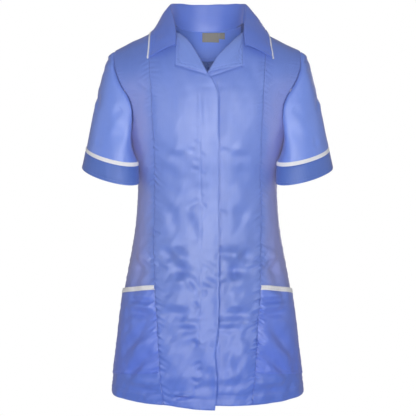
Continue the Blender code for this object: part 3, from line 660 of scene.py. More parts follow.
# Folds of the back, for its left half and mirrored
BOTH_BACK = (
    crease(1.4, 9.7, 150, -175, 120, -215, 90, -245, rim=0.7),
    crease(1, 7.8, 145, -135, 120, -160, 95, -175, rim=0.7),
    crease(1.3, 9.1, 135, -315, 100, -332, 60, -336, rim=0.7),
    crease(1, 7.8, 130, -360, 95, -365, 70, -360, rim=0.7), crease(0.9, 6.5, 45, -400, 18, -412),
    crease(1.6, 15.6, 70, -470, 82, -620, 88, -720, rim=0.9),
    crease(1.4, 14.3, 125, -520, 142, -700, rim=0.9), dent(50, -300, 30, 20, tilt=1.4),
    dent(70, -70, 30, 22, sink=1),
)
# Folds of the left sleeve, seen from the front; the right one has them mirrored
SLEEVE_FOLDS = (
    crease(1.6, 3.4, 190, -69, 195.5, -62.5, 203, -57), crease(0.9, 5.2, 185, -90, 196, -84, 208, -80),
    crease(1.2, 7.2, 221.5, -130, 219, -160, rim=0.8), crease(0.9, 5.9, 218, -212, 215, -233),
    dent(179, -192, 15, 20, tilt=1.8, lean=20), crease(1, 7.8, 165, -150, 180, -164, 190, -185),
    dent(205, -190, 16, 28, sink=1),
)


# ---- cloth


def pick(piece: Piece | None = None) -> None:
    """Selects one piece alone, or nothing, so that an operator acts on nothing else."""
    if bpy.context.object and bpy.context.object.mode != "OBJECT":
        bpy.ops.object.mode_set(mode="OBJECT")
    bpy.ops.object.select_all(action="DESELECT")
    if piece:
        piece.select_set(True)
        bpy.context.view_layer.objects.active = piece


def edit(step: Callable[[], object]) -> None:
    """Runs one step in edit mode on the whole active piece."""
    bpy.ops.object.mode_set(mode="EDIT")
    bpy.ops.mesh.select_all(action="SELECT")
    step()
    bpy.ops.object.mode_set(mode="OBJECT")


def put(name: str, data: bpy.types.ID) -> Piece:
    """Puts new data into the scene as an object."""
    made = bpy.data.objects.new(name, data)
    bpy.context.scene.collection.objects.link(made)
    return made


def diagonals(points: Array) -> Array:
    """Cross product of each face's diagonals: along its normal, and twice its area long."""
    return np.cross(points[1:, 1:] - points[:-1, :-1], points[1:, :-1] - points[:-1, 1:])


@dataclass
class Grid:
    """Cloth as rows of points; on a tube the last column lies on the first.

    Attributes:
        points: the points, by row and column.
        normals: their outward normals.
        tube: whether the rows are closed.
    """

    points: Array
    normals: Array
    tube: bool = False

    @classmethod
    def of(cls, points: Array, outward: Array, tube: bool = False) -> "Grid":
        """A grid whose normals come from its own shape.

        Args:
            points: the points, by row and column.
            outward: directions that the normals roughly follow.
            tube: whether the rows are closed.

        Returns:
            The grid.
        """
        if tube:
            around = np.roll(points[:, :-1], -1, axis=1) - np.roll(points[:, :-1], 1, axis=1)
            around = np.concatenate([around, around[:, :1]], axis=1)
        else:
            around = np.gradient(points, axis=1)
        normals = unit(np.cross(around, np.gradient(points, axis=0)) + 1e-15)
        flip = np.where(dot(normals, outward) < 0, -1.0, 1.0)
        return cls(points, normals * flip[..., None], tube)

    def moved(self, lift: Array) -> "Grid":
        """The grid with its points moved out, and new normals."""
        return Grid.of(self.points + lift[..., None] * self.normals, self.normals, self.tube)

    def across(self) -> Array:
        """Distance of each point from the start of its row."""
        return runs(self.points, axis=1)

    def up(self) -> Array:
        """Distance of each point from the start of its column."""
        return runs(self.points, axis=0)

    def flat(self) -> tuple[float, float, float]:
        """Width, length and area of the cut that makes it, within what a sheet may have."""
        width, length = (round(max(float(side.max()), LEAST_CUT), 4) for side in (self.across(), self.up()))
        area = float(np.linalg.norm(diagonals(self.points), axis=-1).sum() / 2)
        return width, length, round(min(max(area, LEAST_FILL * width * length), width * length), 6)

    def row(self, at: float) -> Pair:
        """The line of points, and its normals, at a place counted in rows."""
        low = min(int(at), len(self.points) - 2)
        return mix(self.points[low], self.points[low + 1], at - low), self.normals[low]

    def line(self, at: float, lengths: Array) -> Pair:
        """The line of points at a distance from the first row, given the distance of every row."""
        return self.row(float(np.interp(at, lengths, np.arange(len(lengths)))))

    def part(self, *place: object) -> Pair:
        """The points and normals at a place in the rows and columns."""
        return self.points[place], self.normals[place]

    def find(self, x: Array, z: Array) -> Pair:
        """Points and normals of its front at x and z, between its nearest points."""
        facing = self.normals[..., 1] < 0.3
        near, ways = self.points[facing], self.normals[facing]
        off = np.hypot(near[:, 0] - x[:, None], near[:, 2] - z[:, None])
        nearest = np.argpartition(off, 3, axis=1)[:, :3]
        weight = 1 / (np.take_along_axis(off, nearest, axis=1) + 1e-6)
        weight /= weight.sum(axis=1, keepdims=True)
        found, way = (np.einsum("ij,ijk->ik", weight, values[nearest]) for values in (near, ways))
        return found, unit(way)


class Hold(Enum):
    """How a sheet of cloth is held."""

    HUNG = "hung"
    LAID = "laid"
    FOLDED = "folded"
    STRETCHED = "stretched"


class Stuff(Enum):
    """What a piece is cut from: its slot, its finish, its wall and how it is held."""

    FRONT = ("blue_cloth", "blue_twill", CLOTH, Hold.HUNG)
    SIDE = ("blue_cloth", "blue_twill_side", CLOTH, Hold.HUNG)
    SLEEVE = ("blue_cloth", "blue_twill_sleeve", CLOTH, Hold.HUNG)
    POCKET = ("blue_cloth", "blue_twill_double", CLOTH, Hold.LAID)
    FACING = ("blue_cloth", "blue_twill_inside", CLOTH, Hold.LAID)
    CUFF = ("blue_cloth", "blue_twill_cuff", CLOTH, Hold.FOLDED)
    COLLAR = ("blue_cloth", "blue_twill_double", DOUBLE, Hold.FOLDED)
    REVER = ("blue_cloth", "blue_twill_rever", DOUBLE, Hold.FOLDED)
    BINDING = ("white_trim", "white_trim_weave", TRIM, Hold.FOLDED)
    BAND = ("white_trim", "white_trim_weave", TRIM, Hold.STRETCHED)
    LABEL = ("label_cloth", "label_tape_weave", TAPE, Hold.LAID)
    ZIP = ("zip_tape", "zip_tape_weave", TAPE, Hold.LAID)

    def __init__(self, slot: str, finish: str, thick: float, held: Hold) -> None:
        self.slot, self.finish, self.thick, self.held = slot, finish, thick, held


class Sewing(Enum):
    """What a row of stitches is sewn with: its slot and its finish."""

    BLUE = ("blue_cloth", "blue_thread")
    WHITE = ("white_trim", "white_thread")


class Side(Enum):
    """A side of the wearer."""

    RIGHT = -1
    LEFT = 1

    def __str__(self) -> str:
        """The side's name in lower case."""
        return self.name.lower()

    @property
    def roll(self) -> SmoothPath:
        """The edge of this side's front, from the top of the fly to the neck point."""
        return SmoothPath(ROLL_OVER if self is Side.RIGHT else ROLL_UNDER)

    def turned(self, points: Array) -> Array:
        """Points of the left side, moved to this one."""
        return points * np.array([self.value, 1, 1])


@dataclass
class Workroom:
    """Makes pieces of cloth and hands them to the frame.

    Attributes:
        finishes: the dressed materials by name.
        stitch: length of a stitch.
        gap: the gap between two stitches.
        thread: half the thickness of the thread.
    """

    finishes: dict
    stitch: float = 0.0024
    gap: float = 0.0009
    thread: float = 0.00026

    def mesh(self, name: str, grid: Grid, offset: tuple) -> Piece:
        """A grid as an open surface, with a map of the cloth in metres.

        Args:
            name: the piece's name.
            grid: its points.
            offset: place of its corner on the cloth, so that no two pieces show the same threads.

        Returns:
            The piece.
        """
        points, along, up = grid.points, grid.across(), grid.up()
        if dot(diagonals(points), grid.normals[:-1, :-1]).mean() < 0:
            points, along, up = points[:, ::-1], along[:, ::-1], up[:, ::-1]
        rows, columns = points.shape[:2]
        pick()
        bpy.ops.mesh.primitive_grid_add(x_subdivisions=columns - 1, y_subdivisions=rows - 1, size=2)
        piece = bpy.context.object
        data = piece.data
        piece.name = data.name = name
        place = np.empty(len(data.vertices) * 3, np.float32)
        data.vertices.foreach_get("co", place)
        place = (place.reshape(-1, 3) + 1) / 2
        j = np.rint(place[:, 0] * (columns - 1)).astype(int)
        i = np.rint(place[:, 1] * (rows - 1)).astype(int)
        data.vertices.foreach_set("co", points[i, j].astype(np.float32).ravel())
        corners = np.empty(len(data.loops), np.int32)
        data.loops.foreach_get("vertex_index", corners)
        cloth_map = data.uv_layers[0]
        cloth_map.name = "cloth"
        place_on = np.stack([along[i, j] + offset[0], up[i, j] + offset[1]], axis=1)[corners]
        cloth_map.data.foreach_set("uv", place_on.astype(np.float32).ravel())
        data.update()
        if grid.tube:
            edit(lambda: bpy.ops.mesh.remove_doubles(threshold=2e-6))
        return piece

    def cloth(
        self,
        name: str,
        grid: Grid,
        stuff: Stuff,
        rests_on: Sequence[str] = (),
        cut: Grid | None = None,
        sewn: Sequence[Piece] = (),
    ) -> None:
        """One cut piece, with its wall, finish and sizes.

        Args:
            name: the name of the node that it stands for.
            grid: its outer surface.
            stuff: what it is cut from.
            rests_on: the nodes that hold it.
            cut: the grid that the flat size is measured on, if it isn't the outer surface.
            sewn: the threads on it.
        """
        piece = self.mesh(name + "_cloth", grid, (len(name) * 0.137, len(name) * 0.071))
        pick(piece)
        wall = piece.modifiers.new("wall", "SOLIDIFY")
        wall.thickness, wall.offset, wall.use_even_offset = stuff.thick, -1.0, False
        bpy.ops.object.modifier_apply(modifier=wall.name)
        bpy.ops.object.shade_smooth_by_angle(angle=math.radians(40))
        self.dress(piece, stuff.slot, stuff.finish, name)
        self.declare(piece, name, (cut or grid).flat(), stuff.held, rests_on, sewn)

    def declare(
        self,
        piece: Piece,
        name: str,
        cut: tuple[float, float, float],
        held: Hold,
        rests_on: Sequence[str],
        sewn: Sequence[Piece] = (),
    ) -> None:
        """Logs a piece's cut.

        Args:
            piece: the piece.
            name: the name of its node.
            cut: its width, length and area.
            held: how it is held; not used.
            rests_on: the nodes that hold it; not used.
            sewn: the threads on it; not used.
        """
        width, length, area = cut
        LOG.info("%s: %.0f x %.0f mm, %d faces", name, width * 1e3, length * 1e3, len(piece.data.polygons))

    def dress(self, piece: Piece, slot: str, finish: str, *nodes: str) -> None:
        """Gives a piece its material and body, and hides the nodes that it stands for."""
        piece.data.materials.clear()
        piece.data.materials.append(self.finishes[finish])
        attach(piece, "root")
        if nodes:
            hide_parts(*nodes)

    def stitches(self, name: str, lines: Sequence[Pair], sewing: Sewing = Sewing.BLUE) -> Piece:
        """Rows of stitches, copies of one small rounded stitch.

        Args:
            name: the piece's name.
            lines: points and normals of the lines that they follow.
            sewing: what they are sewn with.

        Returns:
            The piece.
        """
        pick()
        bpy.ops.mesh.primitive_uv_sphere_add(segments=6, ring_count=4, radius=1)
        model = bpy.context.object
        shape = np.array([vertex.co for vertex in model.data.vertices])
        faces = [tuple(face.vertices) for face in model.data.polygons]
        bpy.data.objects.remove(model, do_unlink=True)
        stitches = []
        for line in lines:
            run = runs(line[0])
            at = np.arange((self.stitch + self.gap) / 2, run[-1], self.stitch + self.gap)
            middles, normals = (
                np.stack([np.interp(at, run, axis) for axis in part.T], axis=1) for part in line
            )
            ways, normals = unit(np.gradient(middles, axis=0)), unit(normals)
            radii = (np.cross(ways, normals) * self.thread, normals * self.thread, ways * self.stitch / 2)
            middles = middles + normals * self.thread * 0.4
            stitches.append(np.einsum("vk,nkj->nvj", shape, np.stack(radii, axis=1)) + middles[:, None])
        points = np.concatenate(stitches)
        firsts = range(0, len(points) * len(shape), len(shape))
        all_faces = [tuple(v + first for v in face) for first in firsts for face in faces]
        mesh = bpy.data.meshes.new(name)
        mesh.from_pydata(points.reshape(-1, 3).tolist(), [], all_faces)
        mesh.shade_smooth()
        piece = put(name, mesh)
        self.dress(piece, *sewing.value)
        LOG.info("%s: %d stitches", name, len(points))
        return piece


# ---- finishes


class Signal:
    """A shader value; sums on it add the nodes that work them out."""

    def __init__(self, bench: "Bench", socket: Socket) -> None:
        self.bench, self.socket = bench, socket

    def math(self, operation: str, *others: "Signal | float") -> "Signal":
        """The result of a Math node on this value and others."""
        return self.bench.math(operation, self, *others)

    def __rsub__(self, other: float) -> "Signal":
        """Difference from a number."""
        return self.bench.math("SUBTRACT", other, self)

    __add__ = __radd__ = partialmethod(math, "ADD")
    __mul__ = __rmul__ = partialmethod(math, "MULTIPLY")
    __sub__ = partialmethod(math, "SUBTRACT")
    __pow__ = partialmethod(math, "POWER")
    sine = partialmethod(math, "SINE")
    size = partialmethod(math, "ABSOLUTE")
    larger = partialmethod(math, "MAXIMUM")

    def held(self) -> "Signal":
        """The value kept between 0 and 1."""
        return self.larger(0.0).math("MINIMUM", 1.0)


class Bench:
    """The node tree of one material or world."""

    def __init__(self, owner: bpy.types.Material | bpy.types.World) -> None:
        owner.use_nodes = True
        self.owner, self.tree = owner, owner.node_tree
        self.tree.nodes.clear()

    def add(self, kind: str, inputs: dict | None = None, **settings: object) -> bpy.types.Node:
        """Adds a node.

        Args:
            kind: its type.
            inputs: values, sockets or signals by socket name or number.
            settings: its own settings, which are set first.

        Returns:
            The node.
        """
        node = self.tree.nodes.new("ShaderNode" + kind)
        for key, value in settings.items():
            setattr(node, key, value)
        for key, value in (inputs or {}).items():
            if isinstance(value, Signal):
                value = value.socket
            if isinstance(value, Socket):
                self.tree.links.new(value, node.inputs[key])
            else:
                node.inputs[key].default_value = value
        return node

    def signal(self, node: bpy.types.Node, output: str | int = 0) -> Signal:
        """One output of a node as a value for sums."""
        return Signal(self, node.outputs[output])

    def math(self, operation: str, *values: Signal | float) -> Signal:
        """The result of a Math node."""
        return self.signal(self.add("Math", dict(enumerate(values)), operation=operation))

    def place(self) -> Socket:
        """The place of a point in the piece's own space."""
        return self.add("TexCoord").outputs["Object"]

    def split(self, vector: Socket) -> list[Signal]:
        """The three parts of a vector."""
        parts = self.add("SeparateXYZ", {0: vector})
        return [self.signal(parts, k) for k in range(3)]

    def noise(self, place: Socket, scale: tuple, detail: float = 2.0) -> Signal:
        """Noise between 0 and 1 with its own scale on each axis."""
        inputs = {"Vector": place, "Scale": scale}
        stretched = self.add("Mapping", inputs, vector_type="POINT")
        inputs = {"Vector": stretched.outputs[0], "Scale": 1.0, "Detail": detail, "Roughness": 0.55}
        return self.signal(self.add("TexNoise", inputs, noise_dimensions="3D"), "Fac")

    def blend(self, share: Signal, first: "tuple | Socket", second: tuple) -> Socket:
        """A colour between two."""
        inputs = {0: share, 6: (*first, 1.0) if isinstance(first, tuple) else first, 7: (*second, 1.0)}
        return self.add("Mix", inputs, data_type="RGBA").outputs[2]

    def bump(self, height: Signal, distance: float, strength: float = 1.0) -> Socket:
        """The normal of a surface in relief."""
        inputs = {"Strength": strength, "Distance": distance, "Height": height}
        return self.add("Bump", inputs).outputs[0]

    def close(self, shader: bpy.types.Node, output: str = "Material") -> bpy.types.ID:
        """Joins the last shader to the output and hands back what it is for."""
        self.add("Output" + output, {"Surface": shader.outputs[0]})
        return self.owner


@dataclass(frozen=True)
class Weave:
    """A woven cloth.

    Attributes:
        name: the material's name.
        low: colour of the valleys and the darker threads.
        high: colour of the lighter threads.
        rough: roughness.
        sheen: strength of the fuzz that lightens the cloth at a glancing angle.
        sheen_colour: its colour.
        ribs: distance between two ribs of the weave.
        slant: how far the ribs lean, 0 for a plain weave.
        slub: strength of the uneven threads.
        relief: height of the weave.
        gloss: strength of its shine.
        bloom: painted sheen, a greyer mauve tone along the sides of the body that stands in for glancing
            light, None for a cloth without it.
        hem: painted shade, a deeper tone toward the hem where less sheen falls, None for a cloth without it.
    """

    name: str
    low: tuple
    high: tuple
    rough: float
    sheen: float
    sheen_colour: tuple
    ribs: float
    slant: float
    slub: float
    relief: float
    gloss: float = 0.3
    bloom: tuple | None = None
    hem: tuple | None = None

    def shaded(self, bench: Bench, colour: Socket) -> Socket:
        """The colour with painted sheen, greyer between chest and pockets toward the side, and painted
        shade, deeper toward the hem.
        """
        # Painted sheen: a greyer, mauve tone on the sides between chest and pockets, where light glances
        # off.
        if self.bloom:
            place = bench.place()
            across, _, up = bench.split(place)
            patches = bench.noise(place, (34.0, 34.0, 17.0), 3.0) * 1.2 - 0.6
            side = (across.size() * 45.0 - 4.9 + patches).held()
            off = up * 4.6 + 1.56
            colour = bench.blend(side * (1.35 - off * off + patches * 0.5).held(), colour, self.bloom)
        # Painted shade: the blue deepens toward the hem, where less sheen falls.
        if self.hem:
            up = bench.split(bench.place())[2]
            colour = bench.blend((up * -4.6 - 2.2).held() * 0.8, colour, self.hem)
        return colour

    def material(self) -> bpy.types.Material:
        """The dressed material, laid out on the map of the cloth."""
        bench = Bench(bpy.data.materials.new(self.name))
        cloth = bench.add("UVMap", uv_map="cloth").outputs[0]
        across, up, _ = bench.split(cloth)
        turns = 2 * math.pi / self.ribs
        ribs = (across * turns + up * (turns * self.slant)).sine() * 0.5 + 0.5
        threads = (across * (turns * 1.9)).sine() * (up * (turns * 1.9)).sine() * 0.5 + 0.5
        slubs = bench.noise(cloth, (900.0, 22.0, 1.0), 1.0)
        wide = bench.noise(cloth, (300.0, 9.0, 1.0), 1.0)
        fine = bench.noise(cloth, (1500.0, 900.0, 1.0), 2.0)
        blotches = bench.noise(cloth, (14.0, 10.0, 1.0), 3.0)
        tone = 0.5 + (slubs - 0.5) * (self.slub * 1.4) + (wide - 0.5) * (self.slub * 0.9)
        tone = (tone + (fine - 0.5) * 0.35 + (ribs - 0.5) * 0.25 + (blotches - 0.5) * 0.7).held()
        height = ribs * 0.5 + threads * 0.3 + slubs * (self.slub * 0.9) + fine * 0.2
        inputs = {
            "Base Color": self.shaded(bench, bench.blend(tone, self.low, self.high)),
            "Roughness": (blotches - 0.5) * 0.10 + (fine - 0.5) * 0.08 + self.rough,
            "Sheen Weight": self.sheen,
            "Sheen Roughness": 0.45,
            "Sheen Tint": (*self.sheen_colour, 1.0),
            "Specular IOR Level": self.gloss,
            "IOR": 1.5 + self.gloss * 0.1,
            "Normal": bench.bump(height, self.relief),
        }
        return bench.close(bench.add("BsdfPrincipled", inputs))


@dataclass(frozen=True)
class Thread:
    """Sewing thread, twisted from fine plies.

    Attributes:
        name: the material's name.
        low: colour between the plies.
        high: colour of the plies.
    """

    name: str
    low: tuple
    high: tuple

    def material(self) -> bpy.types.Material:
        """The dressed material."""
        bench = Bench(bpy.data.materials.new(self.name))
        place = bench.place()
        x, y, z = bench.split(place)
        ply = ((x + z * 1.7 + y) * 9000.0).sine() * 0.5 + 0.5
        tone = ply * 0.6 + bench.noise(place, (600.0, 600.0, 600.0)) * 0.4
        inputs = {
            "Base Color": bench.blend(tone, self.low, self.high),
            "Roughness": 0.5,
            "Sheen Weight": 0.2,
            "Normal": bench.bump(ply, 0.00005, 0.6),
        }
        return bench.close(bench.add("BsdfPrincipled", inputs))


# The blue twill of the fronts and backs; its hem tone is painted shade that deepens the blue toward the hem.
TWILL = Weave(
    "blue_twill", (0.094, 0.172, 0.560), (0.126, 0.211, 0.625), rough=0.49, sheen=0.25,
    sheen_colour=(0.85, 0.72, 0.78), ribs=0.00062, slant=0.75, slub=0.45, relief=0.00010,
    gloss=1.0, hem=(0.052, 0.140, 0.650),
)


def blue(name: str, low: tuple, high: tuple, gloss: float = TWILL.gloss, hem: tuple = TWILL.hem) -> Weave:
    """The blue twill in a lighter or darker tone for one of its pieces: painted light and shade for how the
    light falls on that piece.
    """
    return replace(TWILL, name="blue_twill_" + name, low=low, high=high, gloss=gloss, hem=hem)


FINISHES = (
    TWILL,
    # The side panels' twill, with a painted sheen along the sides.
    replace(TWILL, name="blue_twill_side", bloom=(0.210, 0.246, 0.600)),
    # Lit and shaded copies of the blue twill, one per kind of piece: painted light and shade.
    blue("double", (0.088, 0.170, 0.630), (0.114, 0.205, 0.700), hem=(0.058, 0.140, 0.700)),
    blue("cuff", (0.066, 0.135, 0.455), (0.090, 0.166, 0.510), gloss=0.45, hem=(0.058, 0.140, 0.700)),
    blue("rever", (0.150, 0.232, 0.610), (0.182, 0.270, 0.670), gloss=0.4),
    blue("inside", (0.150, 0.275, 0.880), (0.195, 0.325, 0.950)),
    blue("sleeve", (0.120, 0.212, 0.650), (0.155, 0.253, 0.710), gloss=0.78),
    Weave(
        "white_trim_weave", (0.690, 0.685, 0.720), (0.800, 0.795, 0.820), rough=0.66, sheen=0.20,
        sheen_colour=(1.0, 1.0, 1.0), ribs=0.00055, slant=0.0, slub=0.30, relief=0.00012,
    ),
    Weave(
        "label_tape_weave", (0.260, 0.250, 0.225), (0.340, 0.328, 0.300), rough=0.60, sheen=0.20,
        sheen_colour=(0.9, 0.88, 0.85), ribs=0.00045, slant=0.0, slub=0.35, relief=0.00010,
    ),
    Weave(
        "zip_tape_weave", (0.700, 0.700, 0.720), (0.800, 0.800, 0.820), rough=0.65, sheen=0.15,
        sheen_colour=(1.0, 1.0, 1.0), ribs=0.00080, slant=1.0, slub=0.20, relief=0.00015,
    ),
    Thread("blue_thread", (0.120, 0.180, 0.500), (0.230, 0.310, 0.680)),
    Thread("white_thread", (0.620, 0.620, 0.650), (0.820, 0.820, 0.840)),
)


# ---- body

# Strength of the puckers along the princess seam and the side seam, by level
PRINCESS_PULL = (
    (-0.744, 1.2), (-0.65, 2.4), (-0.52, 2.4), (-0.4, 1.3), (-0.23, 1.5), (-0.12, 0.8), (0.04, 0.4),
)
SIDE_PULL = ((-0.744, 0.8), (-0.5, 0.9), (-0.222, 0.6), (-0.15, 0.8), (0.04, 0.5))


class BodyFolds:
    """The folds that all layers of the body share."""

    creases = 1.6
    dents = 3.8
    ripples = Ripples(seed=5, height=0.0005)
    crumples = Ripples(seed=6, height=0.0005, shortest=0.013, longest=0.045)
    crumple_share = ((-0.744, 1.3), (-0.55, 1.2), (-0.35, 0.8), (-0.25, 0.5), (-0.15, 0.25), (0.04, 0.3))
    fold_share = ((-0.744, 1.0), (-0.45, 1.0), (-0.36, 0.85), (-0.28, 0.6), (-0.2, 0.5), (0.04, 0.6))
    hem_curl = 0.006
    side_calm = 0.75

    def __init__(self, form: BodyForm) -> None:
        both = [*BOTH_FRONT, *BOTH_SIDE]
        front = [*both, *(fold.mirrored() for fold in both), *OVER_FRONT, *UNDER_FRONT]
        back = [*BOTH_BACK, *(fold.mirrored() for fold in BOTH_BACK)]
        self.faces = ((front, form.face), (back, partial(form.face, back=True)))

    def lift(self, grid: Grid) -> Array:
        """How far the body's cloth moves out at the points of a smooth grid."""
        z, sideways, ways = grid.points[..., 2], np.abs(grid.normals[..., 0]), grid.normals
        crumpled = Track(*zip(*self.crumple_share))(z)
        moved = self.ripples.lift(grid.points) + self.crumples.lift(grid.points) * crumpled
        moved -= self.hem_curl * ease((-0.685 - z) / 0.07) * ease(ways[..., 1] ** 2 * 2)
        deep = Track(*zip(*self.fold_share))(z)
        for folds, face in self.faces:
            for fold in folds:
                strength = self.creases if isinstance(fold, Crease) else self.dents
                moved += strength * deep * fold.lift(grid.points, ways, face)
        return moved * (1 - self.side_calm * ease((sideways - 0.72) / 0.26))


@dataclass
class Part:
    """A part of the tunic.

    Attributes:
        form: the body's form.
        room: the workroom.
    """

    form: BodyForm
    room: Workroom


@dataclass
class Panels(Part):
    """The cut pieces of the body, which share its form and folds.

    Attributes:
        folds: the folds.
        hem: height of the turned-up hem.
        seam_depth: how far a seam is drawn in.
        seam_width: half width of that ditch.
        row_pitch: distance between two rows of the pieces that run from hem to shoulder.
        sunk: how far the pieces sink into a seam that catches a pocket.
        princess: puckers at the princess seam.
        side_seam: puckers at the side seam.
        hem_lines: the lines of the hem's stitches, kept as the panels are made.
    """

    folds: BodyFolds
    hem: float = 0.021
    seam_depth: float = 0.0015
    seam_width: float = 0.0011
    row_pitch: float = 0.0023
    sunk: float = 0.0014
    princess: Puckers = Puckers(20, strength=PRINCESS_PULL)
    side_seam: Puckers = Puckers(30, slant=0.35, strength=SIDE_PULL)
    hem_lines: list = field(default_factory=list)

    def lay(self, places: Surface, pitch: float, whole: bool = False) -> tuple[Grid, Array, Array]:
        """Lays a piece on the form in even rows and columns, the columns closer along its seams.

        Args:
            places: gives level and turn from the share of the rows and of the columns.
            pitch: distance between two points.
            whole: whether it runs from hem to shoulder; such pieces share their rows, so that they meet.

        Returns:
            The grid, the share of the rows of each row, and the share of the columns of each point.
        """
        form = self.form
        up, across = 1 - np.linspace(1, 0, 261) ** 2.2, np.linspace(0, 1, 61)
        if whole:
            level = mix(HEM, RIDGE, up)
            length, row_pitch = runs(form.skin(level, form.seam_turn(level))), self.row_pitch
        else:
            columns = form.skin(*places(up[:, None], across[None]))[:, [0, 30, 60]]
            length, row_pitch = runs(columns).mean(axis=1), pitch
        up = np.interp(marks(length[-1], row_pitch), length, up)[:, None]
        run = runs(form.skin(*places(up, across[None])), axis=1)
        widest = run[:, -1].max()
        share = marks(widest, pitch, COLUMN_ENDS) / widest
        across = np.stack([np.interp(share * row[-1], row, across) for row in run])
        place = places(up, across)
        return Grid(form.skin(*place), form.normal(*place)), up, across

    def ditch(self, away: Array, share: float = 1.0) -> Array:
        """Lift beside a seam, at a distance from it, with a share of the usual depth."""
        return -share * self.seam_depth * np.exp(-away / self.seam_width)

    def caught(self, level: Array, away: Array) -> Array:
        """Lift beside a seam that catches a pocket and its binding."""
        above_foot = ease((level - POCKET_FOOT + 0.012) / 0.010)
        above_mouth = ease((level - BINDING_TOP - 0.002) / 0.010)
        return -self.sunk * above_foot * (1 - above_mouth) * np.exp(-away / 0.004)

    def sides_seam(self, level: Array, away: Array, side: Side) -> Array:
        """Lift beside the side seam, with its ditch and its puckers."""
        return self.ditch(away) + self.caught(level, away) + self.side_seam.on(side).lift(level, away)

    def turned_hem(self, up: Array) -> Array:
        """Lift of the turned-up hem, at a height above its edge."""
        fold = 0.0004 * (1 - ease((up - self.hem + 0.003) / 0.005))
        return fold + pressed((up, 0.0008, 0.0018), (up - self.hem, 0.0005, 0.0017))

    def shaped(self, grid: Grid, lift: Array) -> Grid:
        """A panel with its lift, after its line of hem stitches is kept."""
        moved = grid.moved(lift)
        self.hem_lines.append(moved.line(self.hem, moved.up()[:, 0]))
        return moved


@dataclass
class Fronts(Panels):
    """Both centre fronts, the fly and the tape between them.

    Attributes:
        pitch: distance between two points.
        lap: depth of the under front below the over front.
        lap_from: where it starts to rise again.
        lap_to: where it lies level with the over front.
        trench: depth of the under front's ditch beside the fly's edge.
        hem_dip: how far the over front's corner hangs lower.
        pressed_in: depth of the lines that the revers' edges press into the fronts.
        edge_under: place of the under front's hidden edge.
        tape_half: half width of the fastening's tape.
        tape_levels: its foot and its top.
        gape: how far the fly's edge stands off, in millimetres by level.
    """

    pitch: float = 0.0022
    lap: float = 0.004
    lap_from: float = 0.024
    lap_to: float = 0.048
    trench: float = 0.0016
    hem_dip: float = 0.0085
    pressed_in: float = 0.0011
    edge_under: float = -0.018
    tape_half: float = 0.0135
    tape_levels: tuple = (-0.655, -0.156)
    gape: tuple = (
        (-0.76, 1), (-0.7, 0.4), (-0.6, 1), (-0.53, 2.2), (-0.44, 2.2), (-0.36, 0.9), (-0.2, 0.6),
        (-0.12, 1.6),
    )

    def place(self, side: Side, up: Array, across: Array) -> Pair:
        """Level and turn over one front, from its free edge or roll line to the princess seam."""
        level = mix(HEM, RIDGE, up)
        x, z = np.moveaxis(side.roll(np.clip((level - FLY_TOP) / (RIDGE - FLY_TOP), 0, 1)), -1, 0)
        roll_level = self.form.level_of(x, z)
        over = side is Side.RIGHT
        edge = Track.of(EDGE_OVER, "x")(level) if over else self.edge_under
        sag = over * self.hem_dip * np.clip(1 - (level - HEM) / 0.045, 0, 1)
        start = np.where(level > FLY_TOP, self.form.turn_at(roll_level, x), self.form.turn_at(level, edge))
        start_level = np.where(level > FLY_TOP, roll_level, level - sag)
        end = side.value * self.form.seam_turn(level)
        return mix(start_level, level, ease(across)), mix(start, end, across)

    def line(self, grid: Grid, path: Sequence[tuple], *shape: float) -> Array:
        """Lift of an even line, given its path, depth, width and rim."""
        return Crease(tuple(path), *shape, even=True).lift(grid.points, grid.normals, self.form.face)

    def common(self, grid: Grid, up: Array, side: Side) -> Array:
        """Lift that both fronts have: folds, seams, hem, and the lines that the rever's edges press in."""
        to_seam, height = grid.across(), grid.up()
        to_seam = to_seam[:, -1:] - to_seam
        seams = self.ditch(to_seam, 0.85) + self.ditch(height[-1:] - height)
        seams += self.princess.on(side).lift(mix(HEM, RIDGE, up), to_seam)
        _, notch, point, low = REVERS[side]
        edges = ((notch, point), (point, low))
        rever = sum(self.line(grid, ends, self.pressed_in, 0.0021, 0.0) for ends in edges)
        return self.folds.lift(grid) + seams + self.turned_hem(height) + rever

    def over(self) -> None:
        """The right front, with its fly stitched down in a long curve."""
        grid, up, _ = self.lay(partial(self.place, Side.RIGHT), self.pitch, whole=True)
        level, away = mix(HEM, RIDGE, up), grid.across()
        gape = 0.001 * Track(*zip(*self.gape))(level) * bell(away / 0.0075)
        below = 1 - ease((level + 0.098) / 0.012)
        edge = (gape + pressed((away, 0.0007, 0.0013))) * below
        groove = self.line(grid, FLY_STITCH, 0.0006, 0.0017, 0.5)
        front = self.shaped(grid, self.common(grid, up, Side.RIGHT) + edge + groove)
        line = front.find(*SmoothPath(FLY_STITCH)(np.linspace(0, 1, 200)).T)
        sewn = self.room.stitches("fly_stitching", [line])
        self.room.cloth("front_right", front, Stuff.FRONT, ("back_right",), grid, (sewn,))

    def lapped(self, grid: Grid) -> Array:
        """Lift that carries the under front below the over front."""
        x, _, z = np.moveaxis(grid.points, -1, 0)
        beside = x - Track.of(EDGE_OVER, "x")(z) - 0.0008
        trench = pressed((beside, self.trench, 0.0017)) * (1 - ease((z + 0.110) / 0.012))
        return trench - self.lap * (1 - ease((x - self.lap_from) / (self.lap_to - self.lap_from)))

    def under(self) -> None:
        """The left front, which runs on below the fly."""
        grid, up, _ = self.lay(partial(self.place, Side.LEFT), self.pitch, whole=True)
        front = self.shaped(grid, self.common(grid, up, Side.LEFT) + self.lapped(grid))
        self.room.cloth("front_left", front, Stuff.FRONT, ("back_left",), grid)

    def tape(self) -> None:
        """The tape of the fastening, hidden between the fronts."""

        def place(up: Array, across: Array) -> Pair:
            """Level and turn on the tape."""
            level = mix(*self.tape_levels, up)
            return level, self.form.turn_at(level, mix(-self.tape_half, self.tape_half, across))

        grid, _, _ = self.lay(place, 0.0035)
        tape = grid.moved(self.folds.lift(grid) - CLOTH - 0.0005)
        self.room.cloth("zip_tape", tape, Stuff.ZIP, ("front_left",), grid)


